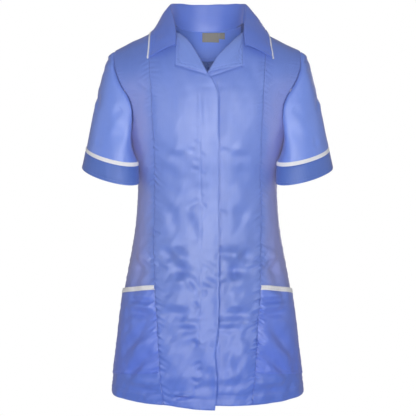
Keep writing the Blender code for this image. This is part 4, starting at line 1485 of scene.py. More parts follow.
@dataclass
class SideFronts(Panels):
    """Both side fronts, from shoulder to hem, with their pockets.

    Attributes:
        pitch: distance between two points.
        pocket_pitch: and on a pocket.
        binding_pitch: and on a binding.
        ease_in: air between the pocket and the side front.
        stand: how far the pocket's mouth stands off.
        foot_pull: puckers along the pocket's foot.
        binding_pull: puckers along the binding's stitches.
    """

    pitch: float = 0.0024
    pocket_pitch: float = 0.0021
    binding_pitch: float = 0.0014
    ease_in: float = 0.0004
    stand: float = 0.0022
    foot_pull: Puckers = Puckers(40, spacing=0.014, reach=0.010, slant=0.2, depth=0.0003)
    binding_pull: Puckers = Puckers(50, spacing=0.008, reach=0.0035, slant=0.3, depth=0.0003, width=0.0016)

    def place(self, side: Side, low: float, high: float, up: Array, across: Array) -> Pair:
        """Level and turn over one side front between two levels, from the princess seam to the side."""
        level = mix(low, high, up)
        end = np.where(level <= BUST, QUARTER, self.form.arm_turn(level))
        return self.form.dipped(level, across), side.value * mix(self.form.seam_turn(level), end, across)

    def lift(self, grid: Grid, level: Array, side: Side) -> Array:
        """Lift of a layer of the side front: folds and both seams."""
        away = grid.across()
        seams = self.princess.on(side).lift(level, away) + self.sides_seam(level, away[:, -1:] - away, side)
        return self.folds.lift(grid) + self.ditch(away, 0.1) + self.caught(level, away) + seams

    def panel(self, side: Side) -> None:
        """One side front."""
        grid, up, _ = self.lay(partial(self.place, side, HEM, RIDGE), self.pitch, whole=True)
        height = grid.up()
        lift = self.lift(grid, mix(HEM, RIDGE, up), side) + self.turned_hem(height)
        panel = self.shaped(grid, lift + self.ditch(height[-1:] - height))
        rests = (f"back_{side}", f"front_{side}")
        self.room.cloth(f"side_front_{side}", panel, Stuff.SIDE, rests, grid)

    def stood_off(self, up: Number, across: Array) -> Array:
        """Lift of the pocket off the side front."""
        low, high = 0.2 + 0.8 * np.sin(math.pi * across), 0.35 + 0.65 * across
        return CLOTH + self.ease_in + self.stand * ease(up) * mix(low, high, np.minimum(up, 1) ** 5)

    def pocket(self, side: Side) -> None:
        """One hip pocket, sewn down along its foot and caught in both seams."""
        grid, up, across = self.lay(partial(self.place, side, POCKET_FOOT, POCKET_MOUTH), self.pocket_pitch)
        height = grid.up()
        foot = pressed((height, 0.0007, 0.0016), (height - STITCH_IN, 0.0004, 0.0016))
        foot += self.foot_pull.on(side).lift(grid.across(), height)
        lift = self.lift(grid, mix(POCKET_FOOT, POCKET_MOUTH, up), side)
        pocket = grid.moved(lift + self.stood_off(up, across) + foot)
        sewn = (self.room.stitches(f"pocket_stitching_{side}", [pocket.line(STITCH_IN, height[:, 0])]),)
        self.room.cloth(f"pocket_{side}", pocket, Stuff.POCKET, (f"side_front_{side}",), grid, sewn)

    def binding(self, side: Side) -> None:
        """The white binding of a pocket's mouth, folded over its edge and stitched along its middle."""
        place = partial(self.place, side, POCKET_MOUTH + SEAM, BINDING_TOP)
        grid, up, across = self.lay(place, self.binding_pitch)
        height = grid.up()
        rest, off = height[-1:] - height, height - height[-1:] / 2
        lift = self.lift(grid, mix(POCKET_MOUTH, BINDING_TOP, up), side)
        lift += 0.0006 + pressed((height, *TRIM_EDGE), (rest, *TRIM_EDGE), (off, 0.00035, 0.001))
        lift += self.stood_off(1.0, across) + self.binding_pull.on(side).lift(grid.across(), np.abs(off))
        binding = grid.moved(lift)
        line = binding.row((len(height) - 1) / 2)
        sewn = self.room.stitches(f"binding_stitching_{side}", [line], Sewing.WHITE)
        name = f"pocket_binding_{side}"
        self.room.cloth(name, binding, Stuff.BINDING, (f"pocket_{side}",), grid, (sewn,))


@dataclass
class Backs(Panels):
    """Both halves of the back, with a seam down the middle.

    Attributes:
        pitch: distance between two points.
        middle: puckers at the centre seam.
    """

    pitch: float = 0.0029
    middle: Puckers = Puckers(60, slant=0.35, reach=0.018, strength=SIDE_PULL)

    def neck_share(self, turn: Array) -> Array:
        """Share of the full rise that the back reaches, at a turn from the centre back."""
        x = self.form.half_width(RIDGE, True) * power(np.sin(turn))
        reach = (self.form.neck_back(x) - BUST) / (self.form.shoulder(x) - BUST)
        return np.where(x >= NECK, 1.0, reach)

    def place(self, side: Side, up: Array, across: Array) -> Pair:
        """Level and turn over one half, from the centre back to the side seam or armhole."""
        level = mix(HEM, RIDGE, up)
        rise = np.maximum(self.form.rise(level), 0)
        turn = across * np.where(level <= BUST, QUARTER, self.form.arm_turn(level))
        high = BUST + rise * mix(1.0, self.neck_share(turn), rise) * (RIDGE - BUST)
        here = np.where(level > BUST, high, self.form.dipped(level, across))
        return here, side.value * (math.pi - turn)

    def half(self, side: Side) -> None:
        """One half of the back."""
        grid, up, _ = self.lay(partial(self.place, side), self.pitch, whole=True)
        away, height, level = grid.across(), grid.up(), mix(HEM, RIDGE, up)
        lift = self.folds.lift(grid) + self.ditch(away) + self.middle.lift(level, away)
        lift += self.sides_seam(level, away[:, -1:] - away, side)
        lift += self.ditch(height[-1:] - height) + self.turned_hem(height)
        self.room.cloth(f"back_{side}", self.shaped(grid, lift), Stuff.FRONT, cut=grid)


# ---- sleeves

Ring = namedtuple("Ring", "x y z long short")


@dataclass
class Sleeves(Part):
    """Both sleeves with their white bands and cuffs, which stay where they hang.

    Attributes:
        band_top: ring at the top of the white band.
        band_foot: ring at its foot.
        cuff_foot: ring at the cuff's edge.
        turn: turn of the long axis of a ring.
        start: turn of a ring's first point.
        rise_x: how much higher a ring's outer side is.
        rise_y: how much lower its front is.
        clear: air between sleeve and body.
        tuck_in: how far its top edge lies below the armhole's.
        columns: points round a ring.
        pitch: distance between two rows.
        trim_pitch: and on a band or a cuff.
        band_long: length of a band.
        cuff_long: length of a cuff.
        steps: shares of the way down at which the puff's height is known.
        folds: strength of the sleeve's folds.
        ripples: low waves of the sleeve and of the cuff.
        pulls: puckers at the sleeve's top and foot, the band's middle, and the cuff's top and stitches.
    """

    band_top: Ring = Ring(0.1915, -0.036, -0.2468, 0.0575, 0.043)
    band_foot: Ring = Ring(0.192, -0.036, -0.2546, 0.0585, 0.0435)
    cuff_foot: Ring = Ring(0.1955, -0.038, -0.2906, 0.0635, 0.0455)
    turn: float = math.radians(30)
    start: float = math.radians(20)
    rise_x: float = 0.19
    rise_y: float = 0.24
    clear: float = 0.004
    tuck_in: float = 0.0013
    columns: int = 150
    pitch: float = 0.0024
    trim_pitch: float = 0.0018
    band_long: float = 0.0078
    cuff_long: float = 0.0365
    steps: tuple = (0, 0.06, 0.16, 0.35, 0.62, 1)
    folds: float = 1.8
    ripples: tuple = (Ripples(90, height=0.0004), Ripples(130, height=0.0003))
    pulls: tuple = (
        Puckers(70, spacing=0.013, reach=0.016, slant=0.25, depth=0.0005, width=0.003),
        Puckers(80, spacing=0.014, reach=0.012, slant=0.2, depth=0.0003),
        Puckers(100, spacing=0.009, reach=0.004, slant=0.3, depth=0.00025, width=0.0018),
        Puckers(110, spacing=0.012, reach=0.008, slant=0.3, depth=0.0003),
        Puckers(120, spacing=0.01, reach=0.006, slant=0.3, depth=0.00025),
    )

    def armhole(self, share: Array) -> Pair:
        """The left armhole seam, from the shoulder tip down the front and up the back.

        Args:
            share: shares of the way round.

        Returns:
            Points, and the body's normals there.
        """
        level = BUST + (1 + np.cos(2 * math.pi * share)) / 2 * (RIDGE - BUST)
        turn = self.form.arm_turn(level)
        turn = np.where(share <= 0.5, turn, math.pi - turn)
        tip = bell(((share + 0.5) % 1 - 0.5) / 0.006)[:, None]
        up = unit(np.array([self.form.slope, 0, 1.0]))
        return self.form.skin(level, turn), unit(mix(self.form.normal(level, turn), up, tip))

    def ring(self, size: Ring, share: Array) -> Array:
        """Points of a turned ellipse."""
        angle = self.start + 2 * math.pi * share
        long, short = size.long * np.cos(angle), size.short * np.sin(angle)
        dx = long * math.cos(self.turn) + short * math.sin(self.turn)
        dy = long * math.sin(self.turn) - short * math.cos(self.turn)
        return np.stack([size.x + dx, size.y + dy, size.z + self.rise_x * dx + self.rise_y * dy], axis=-1)

    def closed(self, rings: Array) -> Grid:
        """Rings as a tube, with its normals outwards."""
        middle = rings.mean(axis=1, keepdims=True)
        rings = np.concatenate([rings, rings[:, :1]], axis=1)
        return Grid.of(rings, rings - middle, tube=True)

    def tube(self, share: Array) -> Grid:
        """The smooth sleeve from the armhole to the band."""
        seam, seam_normals = self.armhole(share)
        foot = self.ring(self.band_top, share)
        down = unit(foot - seam)
        puff = Track(self.steps, np.sin(math.pi * np.array(self.steps) ** 0.45))
        bulge = 0.0045 + 0.0055 * np.cos(2 * math.pi * share)
        length = np.linalg.norm(foot - seam, axis=1).mean()
        rings = []
        for at in marks(length, self.pitch) / length:
            ring = mix(seam, foot, at)
            out = ring - ring.mean(axis=0)
            out = unit(out - dot(out, down)[:, None] * down)
            gap = mix(0.0012, self.clear, ease(at / 0.6)) * ease(at / 0.03)
            rings.append(self.form.clear(ring + out * (bulge * puff(at))[:, None], gap))
        start = seam - self.tuck_in * seam_normals
        rings = np.array(rings)
        return self.closed(rings + (start - rings[0]) * ease(1 - np.arange(len(rings)) / 5)[:, None, None])

    def sleeve(self, side: Side, share: Array) -> None:
        """One sleeve, gathered a little into the armhole."""
        grid = self.tube(share)
        down, round_it = grid.up(), np.append(share, 1.0)[None] * 0.5
        rest = down[-1:] - down
        top, foot, *_ = (pull.on(side) for pull in self.pulls)
        folds = self.folds * sum(fold.lift(grid.points, grid.normals, grid.find) for fold in SLEEVE_FOLDS)
        waves = self.ripples[0].on(side).lift(side.turned(grid.points))
        lift = (folds + waves) * ease(down / 0.010) + top.lift(round_it, down) * ease(down / 0.003)
        lift += foot.lift(round_it, rest) + pressed((rest, 0.0008, 0.0022)) - 0.0014 * np.exp(-down / 0.0014)
        self.finish(side, "sleeve", grid, lift, Stuff.SLEEVE, "back")

    def finish(
        self,
        side: Side,
        name: str,
        grid: Grid,
        lift: Array,
        stuff: Stuff,
        rests_on: str,
        stitched: float | None = None,
        sewing: Sewing = Sewing.BLUE,
    ) -> None:
        """Moves a tube's points out, closes it and makes it on its own side.

        Args:
            side: the side.
            name: the piece's name without its side.
            grid: the smooth tube of the left side.
            lift: how far its points move out.
            stuff: what it is cut from.
            rests_on: what holds it, without its side.
            stitched: distance down it at which it is stitched round, None for no stitches.
            sewing: what it is stitched with.
        """
        lift[:, -1] = lift[:, 0]
        tubes = (grid.moved(lift), grid)
        made, smooth = (Grid(side.turned(tube.points), side.turned(tube.normals), True) for tube in tubes)
        sewn = ()
        if stitched is not None:
            line = made.line(stitched, made.up()[:, 0])
            sewn = (self.room.stitches(f"{name}_stitching_{side}", [line], sewing),)
        self.room.cloth(f"{name}_{side}", made, stuff, (f"{rests_on}_{side}",), smooth, sewn)

    def trim(self, upper: Ring, lower: Ring, length: float, share: Array) -> tuple[Grid, Array, Array]:
        """A tube between two rings, and how far each point is from both."""
        down = (marks(length, self.trim_pitch) / length)[:, None, None]
        rings = mix(self.ring(upper, share), self.ring(lower, share), down)
        grid = self.closed(self.form.clear(rings, self.clear))
        down = grid.up()
        return grid, down, down[-1:] - down

    def band(self, side: Side, share: Array) -> None:
        """One white band, set in above the cuff and stitched along its middle."""
        grid, down, rest = self.trim(self.band_top, self.band_foot, self.band_long, share)
        off = down - down[-1:] / 2
        lift = 0.0004 + pressed((down, *TRIM_EDGE), (rest, *TRIM_EDGE), (off, 0.0003, 0.0009))
        lift += self.pulls[2].on(side).lift(np.append(share, 1.0)[None] * 0.37, np.abs(off))
        self.finish(side, "cuff_band", grid, lift, Stuff.BAND, "sleeve", self.band_long / 2, Sewing.WHITE)

    def cuff(self, side: Side, share: Array) -> None:
        """One cuff, doubled and stitched above its edge."""
        grid, down, rest = self.trim(self.band_foot, self.cuff_foot, self.cuff_long, share)
        round_it, off = np.append(share, 1.0)[None] * 0.38, rest - STITCH_IN
        upper, lower = (pull.on(side) for pull in self.pulls[3:])
        lift = self.ripples[1].on(side).lift(side.turned(grid.points)) * ease(down / 0.006)
        lift += upper.lift(round_it, down) + lower.lift(round_it, np.abs(off))
        lift += pressed((down, 0.0007, 0.0016), (rest, 0.0007, 0.0015), (off, 0.0004, 0.0014))
        self.finish(side, "cuff", grid, lift, Stuff.CUFF, "cuff_band", float(down[-1].mean()) - STITCH_IN)

    def make(self) -> None:
        """Makes both sleeves, bands and cuffs."""
        share = np.arange(self.columns) / self.columns
        for side in Side:
            self.sleeve(side, share)
            self.band(side, share)
            self.cuff(side, share)


# ---- collar, revers and neck

# Half of the collar from the centre back to the notch: its fold, its outer edge, and the way it opens
Leaf = namedtuple("Leaf", "right_roll left_roll roll_y roll_z right_edge left_edge edge_y edge_z turn")
COLLAR = (
    Leaf(0.0, 0.0, 0.074, 0.059, 0.0, 0.0, 0.094, -0.006, 90),
    Leaf(0.0322, 0.0348, 0.069, 0.0592, 0.0412, 0.0448, 0.089, -0.006, 75),
    Leaf(0.0625, 0.0647, 0.05, 0.0592, 0.08, 0.0847, 0.066, -0.004, 45),
    Leaf(0.0765, 0.0795, 0.02, 0.054, 0.105, 0.114, 0.025, 0.005, 8),
    Leaf(0.0712, 0.0778, -0.012, 0.03, 0.1137, 0.1233, -0.011, -0.0035, -4),
    Leaf(0.0653, 0.0752, -0.048, 0.002, 0.1163, 0.1267, -0.044, -0.03, -6),
    Leaf(0.064, 0.076, -0.079, -0.029, 0.118, 0.13, -0.066, -0.055, -8),
)

# Corners of the turned-back revers: at the gorge, the notch, the point and the break
REVERS = {
    Side.RIGHT: ((-0.058, -0.0085), (-0.0612, -0.029), (-0.0622, -0.0706), (-0.0055, -0.0868)),
    Side.LEFT: ((0.068, -0.0085), (0.069, -0.033), (0.0697, -0.0716), (0.0105, -0.0895)),
}


@dataclass
class Collar(Part):
    """The collar, stand and fall in one, with piping on its long edge.

    Attributes:
        steps: stations from the centre back to one notch.
        roll: radius of its fold.
        foot_in: how far inside the body's outer surface the stand starts behind the neck.
        foot_down: and how far below the neck edge.
        tucked: share past which its neck edge is hidden under its fold.
        neck_end: share of the roll line at which the neck edge ends.
        above: least height of the fall over the body.
        bow: how far the fall bows out.
        piping_wide: width of the piping.
        piping_cut: width of the strip that it is folded from.
        pull: puckers along its edge.
        soft: unevenness of the piping.
        ripples: its low waves.
    """

    steps: int = 84
    roll: float = 0.0026
    foot_in: float = 0.0026
    foot_down: float = 0.003
    tucked: float = 0.8
    neck_end: float = 0.805
    above: float = 0.0042
    bow: float = 0.003
    piping_wide: float = 0.0042
    piping_cut: float = 0.0066
    pull: Puckers = Puckers(140, spacing=0.012, reach=0.0065, slant=0.3, depth=0.0004, width=0.0024)
    soft: Puckers = Puckers(150, spacing=0.006, reach=1.0, slant=0.0, depth=0.00018, width=0.0016)
    ripples: Ripples = Ripples(141, height=0.00045)

    def neck(self, side: Side) -> Array:
        """The neck edge from the centre back, over the neck point, down to the gorge."""
        x = NECK * np.linspace(0, 1, 25)
        behind, ways = self.form.face(x, self.form.neck_back(x), back=True)
        sunk = ease((NECK - x) / 0.02)[:, None]
        behind = behind - sunk * (self.foot_in * ways + np.array([0.0, 0.0, self.foot_down]))
        front, _ = self.form.face(*side.roll(np.linspace(1, self.neck_end, 12)).T)
        return np.concatenate([side.turned(behind), front])

    def half(self, side: Side) -> tuple[Array, ...]:
        """Neck edge, fold, outer edge and opening direction of one half, from the centre back."""
        share = np.linspace(0, 1, self.steps + 1)
        keys = np.arange(len(COLLAR)) / (len(COLLAR) - 1)

        def columns(*names: str) -> Array:
            """Columns of the collar's table at every station."""
            tracks = [Track(keys, [getattr(leaf, name) for leaf in COLLAR]) for name in names]
            return np.stack([track(share) for track in tracks], axis=1)

        fold = columns(f"{side}_roll", "roll_y", "roll_z")
        edge = columns(f"{side}_edge", "edge_y", "edge_z")
        angle = np.radians(columns("turn"))
        opening = np.concatenate([np.cos(angle), np.sin(angle), np.zeros_like(angle)], axis=1)
        neck = self.neck(side)
        run = runs(neck)
        at = np.minimum(share / self.tucked, 1.0) * run[-1]
        seam = np.stack([np.interp(at, run, axis) for axis in neck.T], axis=1)
        return seam, side.turned(fold), side.turned(edge), side.turned(opening)

    def sections(self) -> Grid:
        """All sections, from the neck edge over the fold to the outer edge, right notch to left notch."""
        halves = [self.half(side) for side in Side]
        seam, fold, edge, opening = (np.concatenate([right[:0:-1], left]) for right, left in zip(*halves))
        up = unit(np.cross(unit(np.gradient(fold, axis=0)), opening))
        up *= np.where(up @ np.array([0, -0.5, 1.0]) > 0, 1.0, -1.0)[:, None]
        centre = fold - self.roll * up
        start = self.form.above(centre - self.roll * up + 0.004 * opening, 0.003)
        share = np.abs(np.linspace(-1, 1, len(fold)))
        foot = mix(seam, start, ease((share - self.tucked + 0.18) / 0.2)[:, None])
        first, last = (
            np.arctan2(dot(way, opening), dot(way, up)) for way in (unit(centre - foot), unit(edge - centre))
        )
        angle = mix(first, last, np.linspace(0, 1, 11)[:, None])[..., None]
        ways = up * np.sin(angle) - opening * np.cos(angle)
        arc = centre + self.roll * ways
        stand = mix(foot, arc[0], np.linspace(0, 1, 14)[:-1, None, None])
        down = np.concatenate([np.linspace(0, 0.94, 24)[1:], [0.965, 0.985, 1.0]])[:, None, None]
        leaf = mix(arc[-1], edge, down) + self.bow * np.sin(math.pi * down**0.8) * ways[-1]
        leaf = self.form.above(leaf, self.above)
        points = np.concatenate([stand, arc, leaf]).transpose(1, 0, 2)
        outward = [np.repeat(ways[:1], len(stand), 0), ways, np.repeat(ways[-1:], len(leaf), 0)]
        return Grid.of(points, np.concatenate(outward).transpose(1, 0, 2))

    def make(self) -> None:
        """Makes the collar and its piping."""
        grid = self.sections()
        away = grid.across()
        to_edge, along = away[:, -1:] - away, grid.up()[:, -1:]
        end = np.minimum(along, along[-1:] - along)
        lift = pressed((to_edge - COLLAR_STITCH_IN, *COLLAR_ROW), (to_edge, 0.0005, 0.0012))
        lift = lift + pressed((end, 0.0005, 0.0012))
        lift = lift + pressed((end - COLLAR_STITCH_IN, *COLLAR_ROW)) * ease((0.07 - to_edge) / 0.01)
        lift = lift + self.pull.lift(along, np.abs(to_edge - 0.003)) + self.ripples.lift(grid.points)
        shaped = grid.moved(lift * ease(away / 0.01))
        rows, column = np.arange(len(along)), np.argmin(np.abs(to_edge - COLLAR_STITCH_IN), axis=1)
        rows, column = rows[4:-4], column[4:-4]
        lines = [shaped.part(rows, column)]
        for distance in (COLLAR_STITCH_IN, along[-1, 0] - COLLAR_STITCH_IN):
            station = np.argmax(along[:, 0] > distance)
            keep = (to_edge[station] < 0.062) & (to_edge[station] > COLLAR_STITCH_IN)
            lines.append(shaped.part(station, keep))
        sewn = (self.room.stitches("collar_stitching", lines),)
        self.room.cloth("collar", shaped, Stuff.COLLAR, ("back_right", "back_left"), grid, sewn)
        self.piping(shaped)

    def piping(self, collar: Grid) -> None:
        """A flat white cord along the collar's long edge, folded round it."""
        way, normal = unit(collar.points[:, -1] - collar.points[:, -4]), collar.normals[:, -3]
        middle = collar.points[:, -1] + way * (self.piping_wide + SEAM) / 2 - normal * DOUBLE / 2
        along = runs(middle)
        angle = np.linspace(0, 2 * math.pi, 17)
        fat = DOUBLE / 2 + 0.0002 + self.soft.lift(along, np.zeros_like(along))
        out = np.sign(np.cos(angle)) * np.abs(np.cos(angle)) ** 0.6 * (self.piping_wide - SEAM) / 2
        tall = np.sin(angle)[None] * fat[:, None]
        points = middle[:, None] + way[:, None] * out[None, :, None] + normal[:, None] * tall[..., None]
        grid = Grid.of(points, points - middle[:, None], tube=True)
        piece = self.room.mesh("collar_piping_cloth", grid, (1.3, 0.4))
        pick(piece)
        edit(lambda: bpy.ops.mesh.fill_holes(sides=0))
        bpy.ops.object.shade_smooth_by_angle(angle=math.radians(50))
        self.room.dress(piece, Stuff.BINDING.slot, Stuff.BINDING.finish, "collar_piping")
        length = round(float(along[-1]), 4)
        cut = (LEAST_CUT, length, round(self.piping_cut * length, 6))
        self.room.declare(piece, "collar_piping", cut, Hold.FOLDED, ("collar",))


@dataclass
class Rever(Part):
    """One front's top, turned back over its roll line.

    Attributes:
        folds: the body's folds.
        side: the wearer's side.
        stand: how far it stands off the front.
        air: least air under it.
        radius: radius of its roll.
        long: its length along the roll, which its rows are marked on.
        wide: and its width.
        pitch: distance between two points.
        pull: puckers along its edges.
        ripples: its low waves.
    """

    folds: BodyFolds
    side: Side
    stand: float = 0.0034
    air: float = 0.0013
    radius: float = 0.0026
    long: float = 0.093
    wide: float = 0.06
    pitch: float = 0.0019
    pull: Puckers = Puckers(160, spacing=0.011, reach=0.006, slant=0.3, depth=0.0004, width=0.0022)
    ripples: Ripples = Ripples(170, height=0.0004)

    def patch(self, u: Array, v: Array) -> Grid:
        """The front under the rever, at shares away from the roll and down it."""
        gorge, notch, point, low = (np.array(corner) for corner in REVERS[self.side])
        roll = self.side.roll
        reach = roll(np.linspace(0, 1, 401))
        top, bottom = (np.argmin(np.linalg.norm(reach - corner, axis=1)) / 400 for corner in (gorge, low))
        start, end = roll(mix(top, bottom, v)), mix(notch, point, v[..., None])
        u, v = u[..., None], v[..., None]
        straight = mix(mix(gorge, notch, u), mix(low, point, u), v)
        place = straight + mix(start, end, u) - mix(mix(gorge, low, v), mix(notch, point, v), u)
        return Grid(*self.form.face(place[..., 0], place[..., 1]))

    def make(self) -> None:
        """Makes the rever and its stitching."""
        down, out = (marks(length, self.pitch) / length for length in (self.long, self.wide))
        v, u = np.meshgrid(down, out, indexing="ij")
        base = self.patch(u, v)
        away, ways = base.across(), base.normals
        rest, low = away[:, -1:] - away, base.up()[-1:] - base.up()
        edge, pull = np.minimum(rest, low), self.pull.on(self.side)
        lift = self.air + DOUBLE + self.stand * np.sin(math.pi * np.clip(u + 0.1, 0, 0.9))
        lift += self.folds.lift(base) * 0.5
        lift += pressed((edge - COLLAR_STITCH_IN, *COLLAR_ROW), (edge, 0.0012, 0.0012))
        lift += pull.lift(base.up(), np.abs(rest - 0.003)) + pull.lift(away + 0.4, np.abs(low - 0.003))
        lift += self.ripples.on(self.side).lift(base.points) * ease(u / 0.2)
        flat = base.points + lift[..., None] * ways
        toward = unit(base.points[:, 0] - base.points[:, 1])[:, None]
        centre = (flat[:, 0] - ways[:, 0] * self.radius)[:, None]
        angle = np.linspace(-math.pi / 2, math.pi / 2, 12)[:-1, None]
        roll = centre + self.radius * (toward * np.cos(angle) + ways[:, :1] * np.sin(angle))
        shaped = Grid.of(np.concatenate([roll, flat], axis=1), np.concatenate([roll - centre, ways], axis=1))
        j = len(angle) + int(np.argmin(np.abs(rest[0] - COLLAR_STITCH_IN)))
        i = int(np.argmin(np.abs(low[:, -1] - COLLAR_STITCH_IN)))
        lines = [shaped.part(slice(0, i + 1), j), shaped.part(i, slice(len(angle), j + 1))]
        sewn = (self.room.stitches(f"rever_stitching_{self.side}", lines),)
        self.room.cloth(f"rever_{self.side}", shaped, Stuff.REVER, (f"front_{self.side}",), sewn=sewn)


@dataclass
class NeckInside(Part):
    """What shows inside the back neck: the facing and two bare labels.

    Attributes:
        facing_in: distance of the facing from the body's outer surface.
        label_in: and of the labels.
        depth: depth of the facing at the centre back.
        ends: and at its ends.
        pitch: distance between two of its rows, marked on a depth of 50 mm.
        ripples: its low waves.
        labels: name, x of both edges, and height of each label.
    """

    facing_in: float = 0.0042
    label_in: float = 0.0074
    depth: float = 0.062
    ends: float = 0.012
    pitch: float = 0.002
    ripples: Ripples = Ripples(180, height=0.0003)
    labels: tuple = (("main_label", -0.0114, 0.025, 0.0195), ("size_label", 0.0256, 0.0378, 0.0125))

    def facing(self) -> None:
        """The half-moon facing, stitched along its lower edge."""
        x = ((NECK - 0.0012) * np.linspace(-1, 1, 74))[None]
        top = self.form.neck_back(x) - 0.0011
        low = top - self.ends - (self.depth - self.ends) * np.sqrt(1 - (x / NECK) ** 2)
        z = mix(low, top, (marks(0.05, self.pitch) / 0.05)[:, None])
        grid = Grid(*self.form.face(np.broadcast_to(x, z.shape), z, back=True))
        height = grid.up()
        lift = self.ripples.lift(grid.points) - self.facing_in
        shaped = grid.moved(lift - pressed((height, 0.0005, 0.0015), (height - STITCH_IN, 0.0004, 0.0014)))
        inner = Grid(shaped.points - CLOTH * shaped.normals, -shaped.normals)
        line = inner.line(STITCH_IN, height[:, height.shape[1] // 2])
        sewn = (self.room.stitches("facing_stitching", [line]),)
        self.room.cloth("neck_facing", shaped, Stuff.FACING, ("back_right", "back_left"), grid, sewn)

    def label(self, name: str, left: float, right: float, height: float) -> None:
        """A bare woven label, caught under the back neck seam and curling a little at its foot.

        Args:
            name: its name.
            left: x of its edge on the wearer's right.
            right: x of its other edge.
            height: its height.
        """
        x, up = np.meshgrid(np.linspace(left, right, 16), np.linspace(0, 1, 14))
        grid = Grid(*self.form.face(x, NECK_BACK - 0.0015 - height * (1 - up), back=True))
        middle = (left + right) / 2
        curl = 0.0009 * (1 - up) ** 2 * ((x - middle) / (right - left)) * 2 + 0.0006 * (1 - up)
        self.room.cloth(name, grid.moved(-self.label_in - curl), Stuff.LABEL, ("neck_facing",))

    def make(self) -> None:
        """Makes the facing and both labels."""
        self.facing()
        for label in self.labels:
            self.label(*label)


# ---- studio


@dataclass(frozen=True)
class Lamp:
    """A soft box.

    Attributes:
        name: its name.
        place: where it stands.
        size: its width and height.
        watts: its power.
        aim: where it points.
        spread: how wide its beam is, in degrees.
    """

    name: str
    place: tuple
    size: tuple
    watts: float
    aim: tuple = (0.0, 0.0, -0.35)
    spread: float = 180.0


def point(thing: Piece, place: Sequence[float], aim: Sequence[float]) -> None:
    """Stands a lamp or the camera at a place and points it."""
    thing.location = place
    thing.rotation_euler = (Vector(aim) - Vector(place)).to_track_quat("-Z", "Y").to_euler()


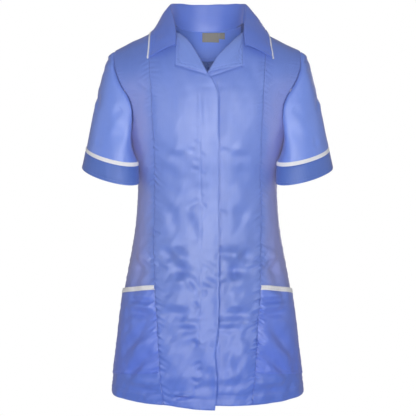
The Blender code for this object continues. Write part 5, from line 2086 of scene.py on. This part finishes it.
@dataclass(frozen=True)
class Studio:
    """A white studio with a pale floor, soft boxes and the camera.

    Attributes:
        aim: where the camera points.
        distance: how far it stands.
        elevation: how far it looks down, in degrees.
        seen: half the width that it sees at that distance.
        floor: height of the floor.
        floor_radius: how far the floor reaches.
        ambient: strength of the light from all round.
        lamps: the soft boxes.
        white: what the camera sees round the tunic.
    """

    aim: tuple = (0.001, 0.0, -0.36)
    distance: float = 3.0
    elevation: float = 4.0
    seen: float = 0.4264
    floor: float = -1.3
    floor_radius: float = 1.6
    ambient: float = 0.17
    lamps: tuple = (
        Lamp("front", (0.0, -3.0, -0.4), (1.0, 0.8), 47.0, aim=(0.0, 0.0, -0.45)),
        Lamp("key", (0.0, -1.9, 0.1), (0.6, 0.5), 1.3, aim=(0.0, 0.0, -0.05), spread=55.0),
        Lamp("side_right", (-2.6, -0.5, 0.0), (1.0, 1.4), 10.0),
        Lamp("side_left", (2.6, -0.5, 0.0), (1.0, 1.4), 10.0),
        Lamp("top", (0.0, -0.4, 2.2), (1.4, 1.0), 3.0),
        Lamp("back", (0.3, 2.8, 0.0), (1.6, 1.2), 48.0),
    )
    white: tuple = (1.0, 1.0, 1.0, 1.0)

    def world(self) -> None:
        """Pale light from all round, white to the camera."""
        bpy.context.scene.world = bpy.data.worlds.new("studio")
        bench = Bench(bpy.context.scene.world)
        path = bench.add("LightPath")
        seen = bench.signal(path, "Is Camera Ray").larger(bench.signal(path, "Is Transmission Ray"))
        pale = bench.add("Background", {0: (0.95, 0.97, 1.0, 1.0), 1: self.ambient})
        white = bench.add("Background", {0: self.white})
        inputs = {0: seen, 1: pale.outputs[0], 2: white.outputs[0]}
        bench.close(bench.add("MixShader", inputs), "World")

    def lay_floor(self) -> None:
        """A pale round floor that keeps the tunic's shadow and fades into the white round it."""
        pick()
        bpy.ops.mesh.primitive_circle_add(
            vertices=96, radius=self.floor_radius, fill_type="NGON", location=(0, 0, self.floor)
        )
        floor = bpy.context.object
        floor.name = floor.data.name = "floor"
        bpy.ops.object.transform_apply(location=True)
        bench = Bench(bpy.data.materials.new("pale_floor"))
        place = bench.place()
        x, y, _ = bench.split(place)
        far = ((x * x + y * y) ** 0.5 * (1 / self.floor_radius)) ** 3.0
        seen = bench.signal(bench.add("LightPath"), "Is Camera Ray")
        tone = bench.blend(bench.noise(place, (60.0,) * 3, 3.0), (0.80,) * 3, (0.84,) * 3)
        matt = bench.add("BsdfDiffuse", {"Color": tone})
        white = bench.add("Emission", {"Color": self.white, "Strength": 1.0})
        inputs = {0: seen * (far * 0.55 + 0.45).held(), 1: matt.outputs[0], 2: white.outputs[0]}
        floor.data.materials.append(bench.close(bench.add("MixShader", inputs)))

    def light(self) -> None:
        """Sets up the soft boxes."""
        for lamp in self.lamps:
            light = bpy.data.lights.new(lamp.name, "AREA")
            light.shape = "RECTANGLE"
            light.size, light.size_y = lamp.size
            light.energy, light.spread = lamp.watts, math.radians(lamp.spread)
            point(put(lamp.name, light), lamp.place, lamp.aim)

    def camera(self) -> None:
        """Sets up the camera, level with the chest and looking down a little."""
        tilt = math.radians(self.elevation)
        data = bpy.data.cameras.new("camera")
        data.sensor_width, data.angle = 36.0, 2 * math.atan(self.seen / self.distance)
        camera = put("camera", data)
        away = self.distance * Vector((0, -math.cos(tilt), math.sin(tilt)))
        point(camera, Vector(self.aim) + away, self.aim)
        bpy.context.scene.camera = camera

    def make(self) -> None:
        """Builds the studio."""
        bpy.context.scene.view_settings.view_transform = "Standard"
        self.world()
        self.lay_floor()
        self.light()
        self.camera()


# ---- tunic


def main() -> None:
    """Builds the tunic in its studio."""
    logging.basicConfig(level=logging.INFO, format="%(name)s: %(message)s")
    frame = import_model()
    LOG.info("frame: %d nodes", len(frame["nodes"]))
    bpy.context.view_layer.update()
    Studio().make()
    form, room = BodyForm(), Workroom({finish.name: finish.material() for finish in FINISHES})
    folds = BodyFolds(form)
    fronts, sides, backs = (kind(form, room, folds) for kind in (Fronts, SideFronts, Backs))
    fronts.over()
    fronts.under()
    fronts.tape()
    for side in Side:
        sides.panel(side)
        sides.pocket(side)
        sides.binding(side)
        backs.half(side)
        Rever(form, room, folds, side).make()
    room.stitches("hem_stitching", [line for panels in (fronts, sides, backs) for line in panels.hem_lines])
    Sleeves(form, room).make()
    Collar(form, room).make()
    NeckInside(form, room).make()


if __name__ == "__main__":
    main()
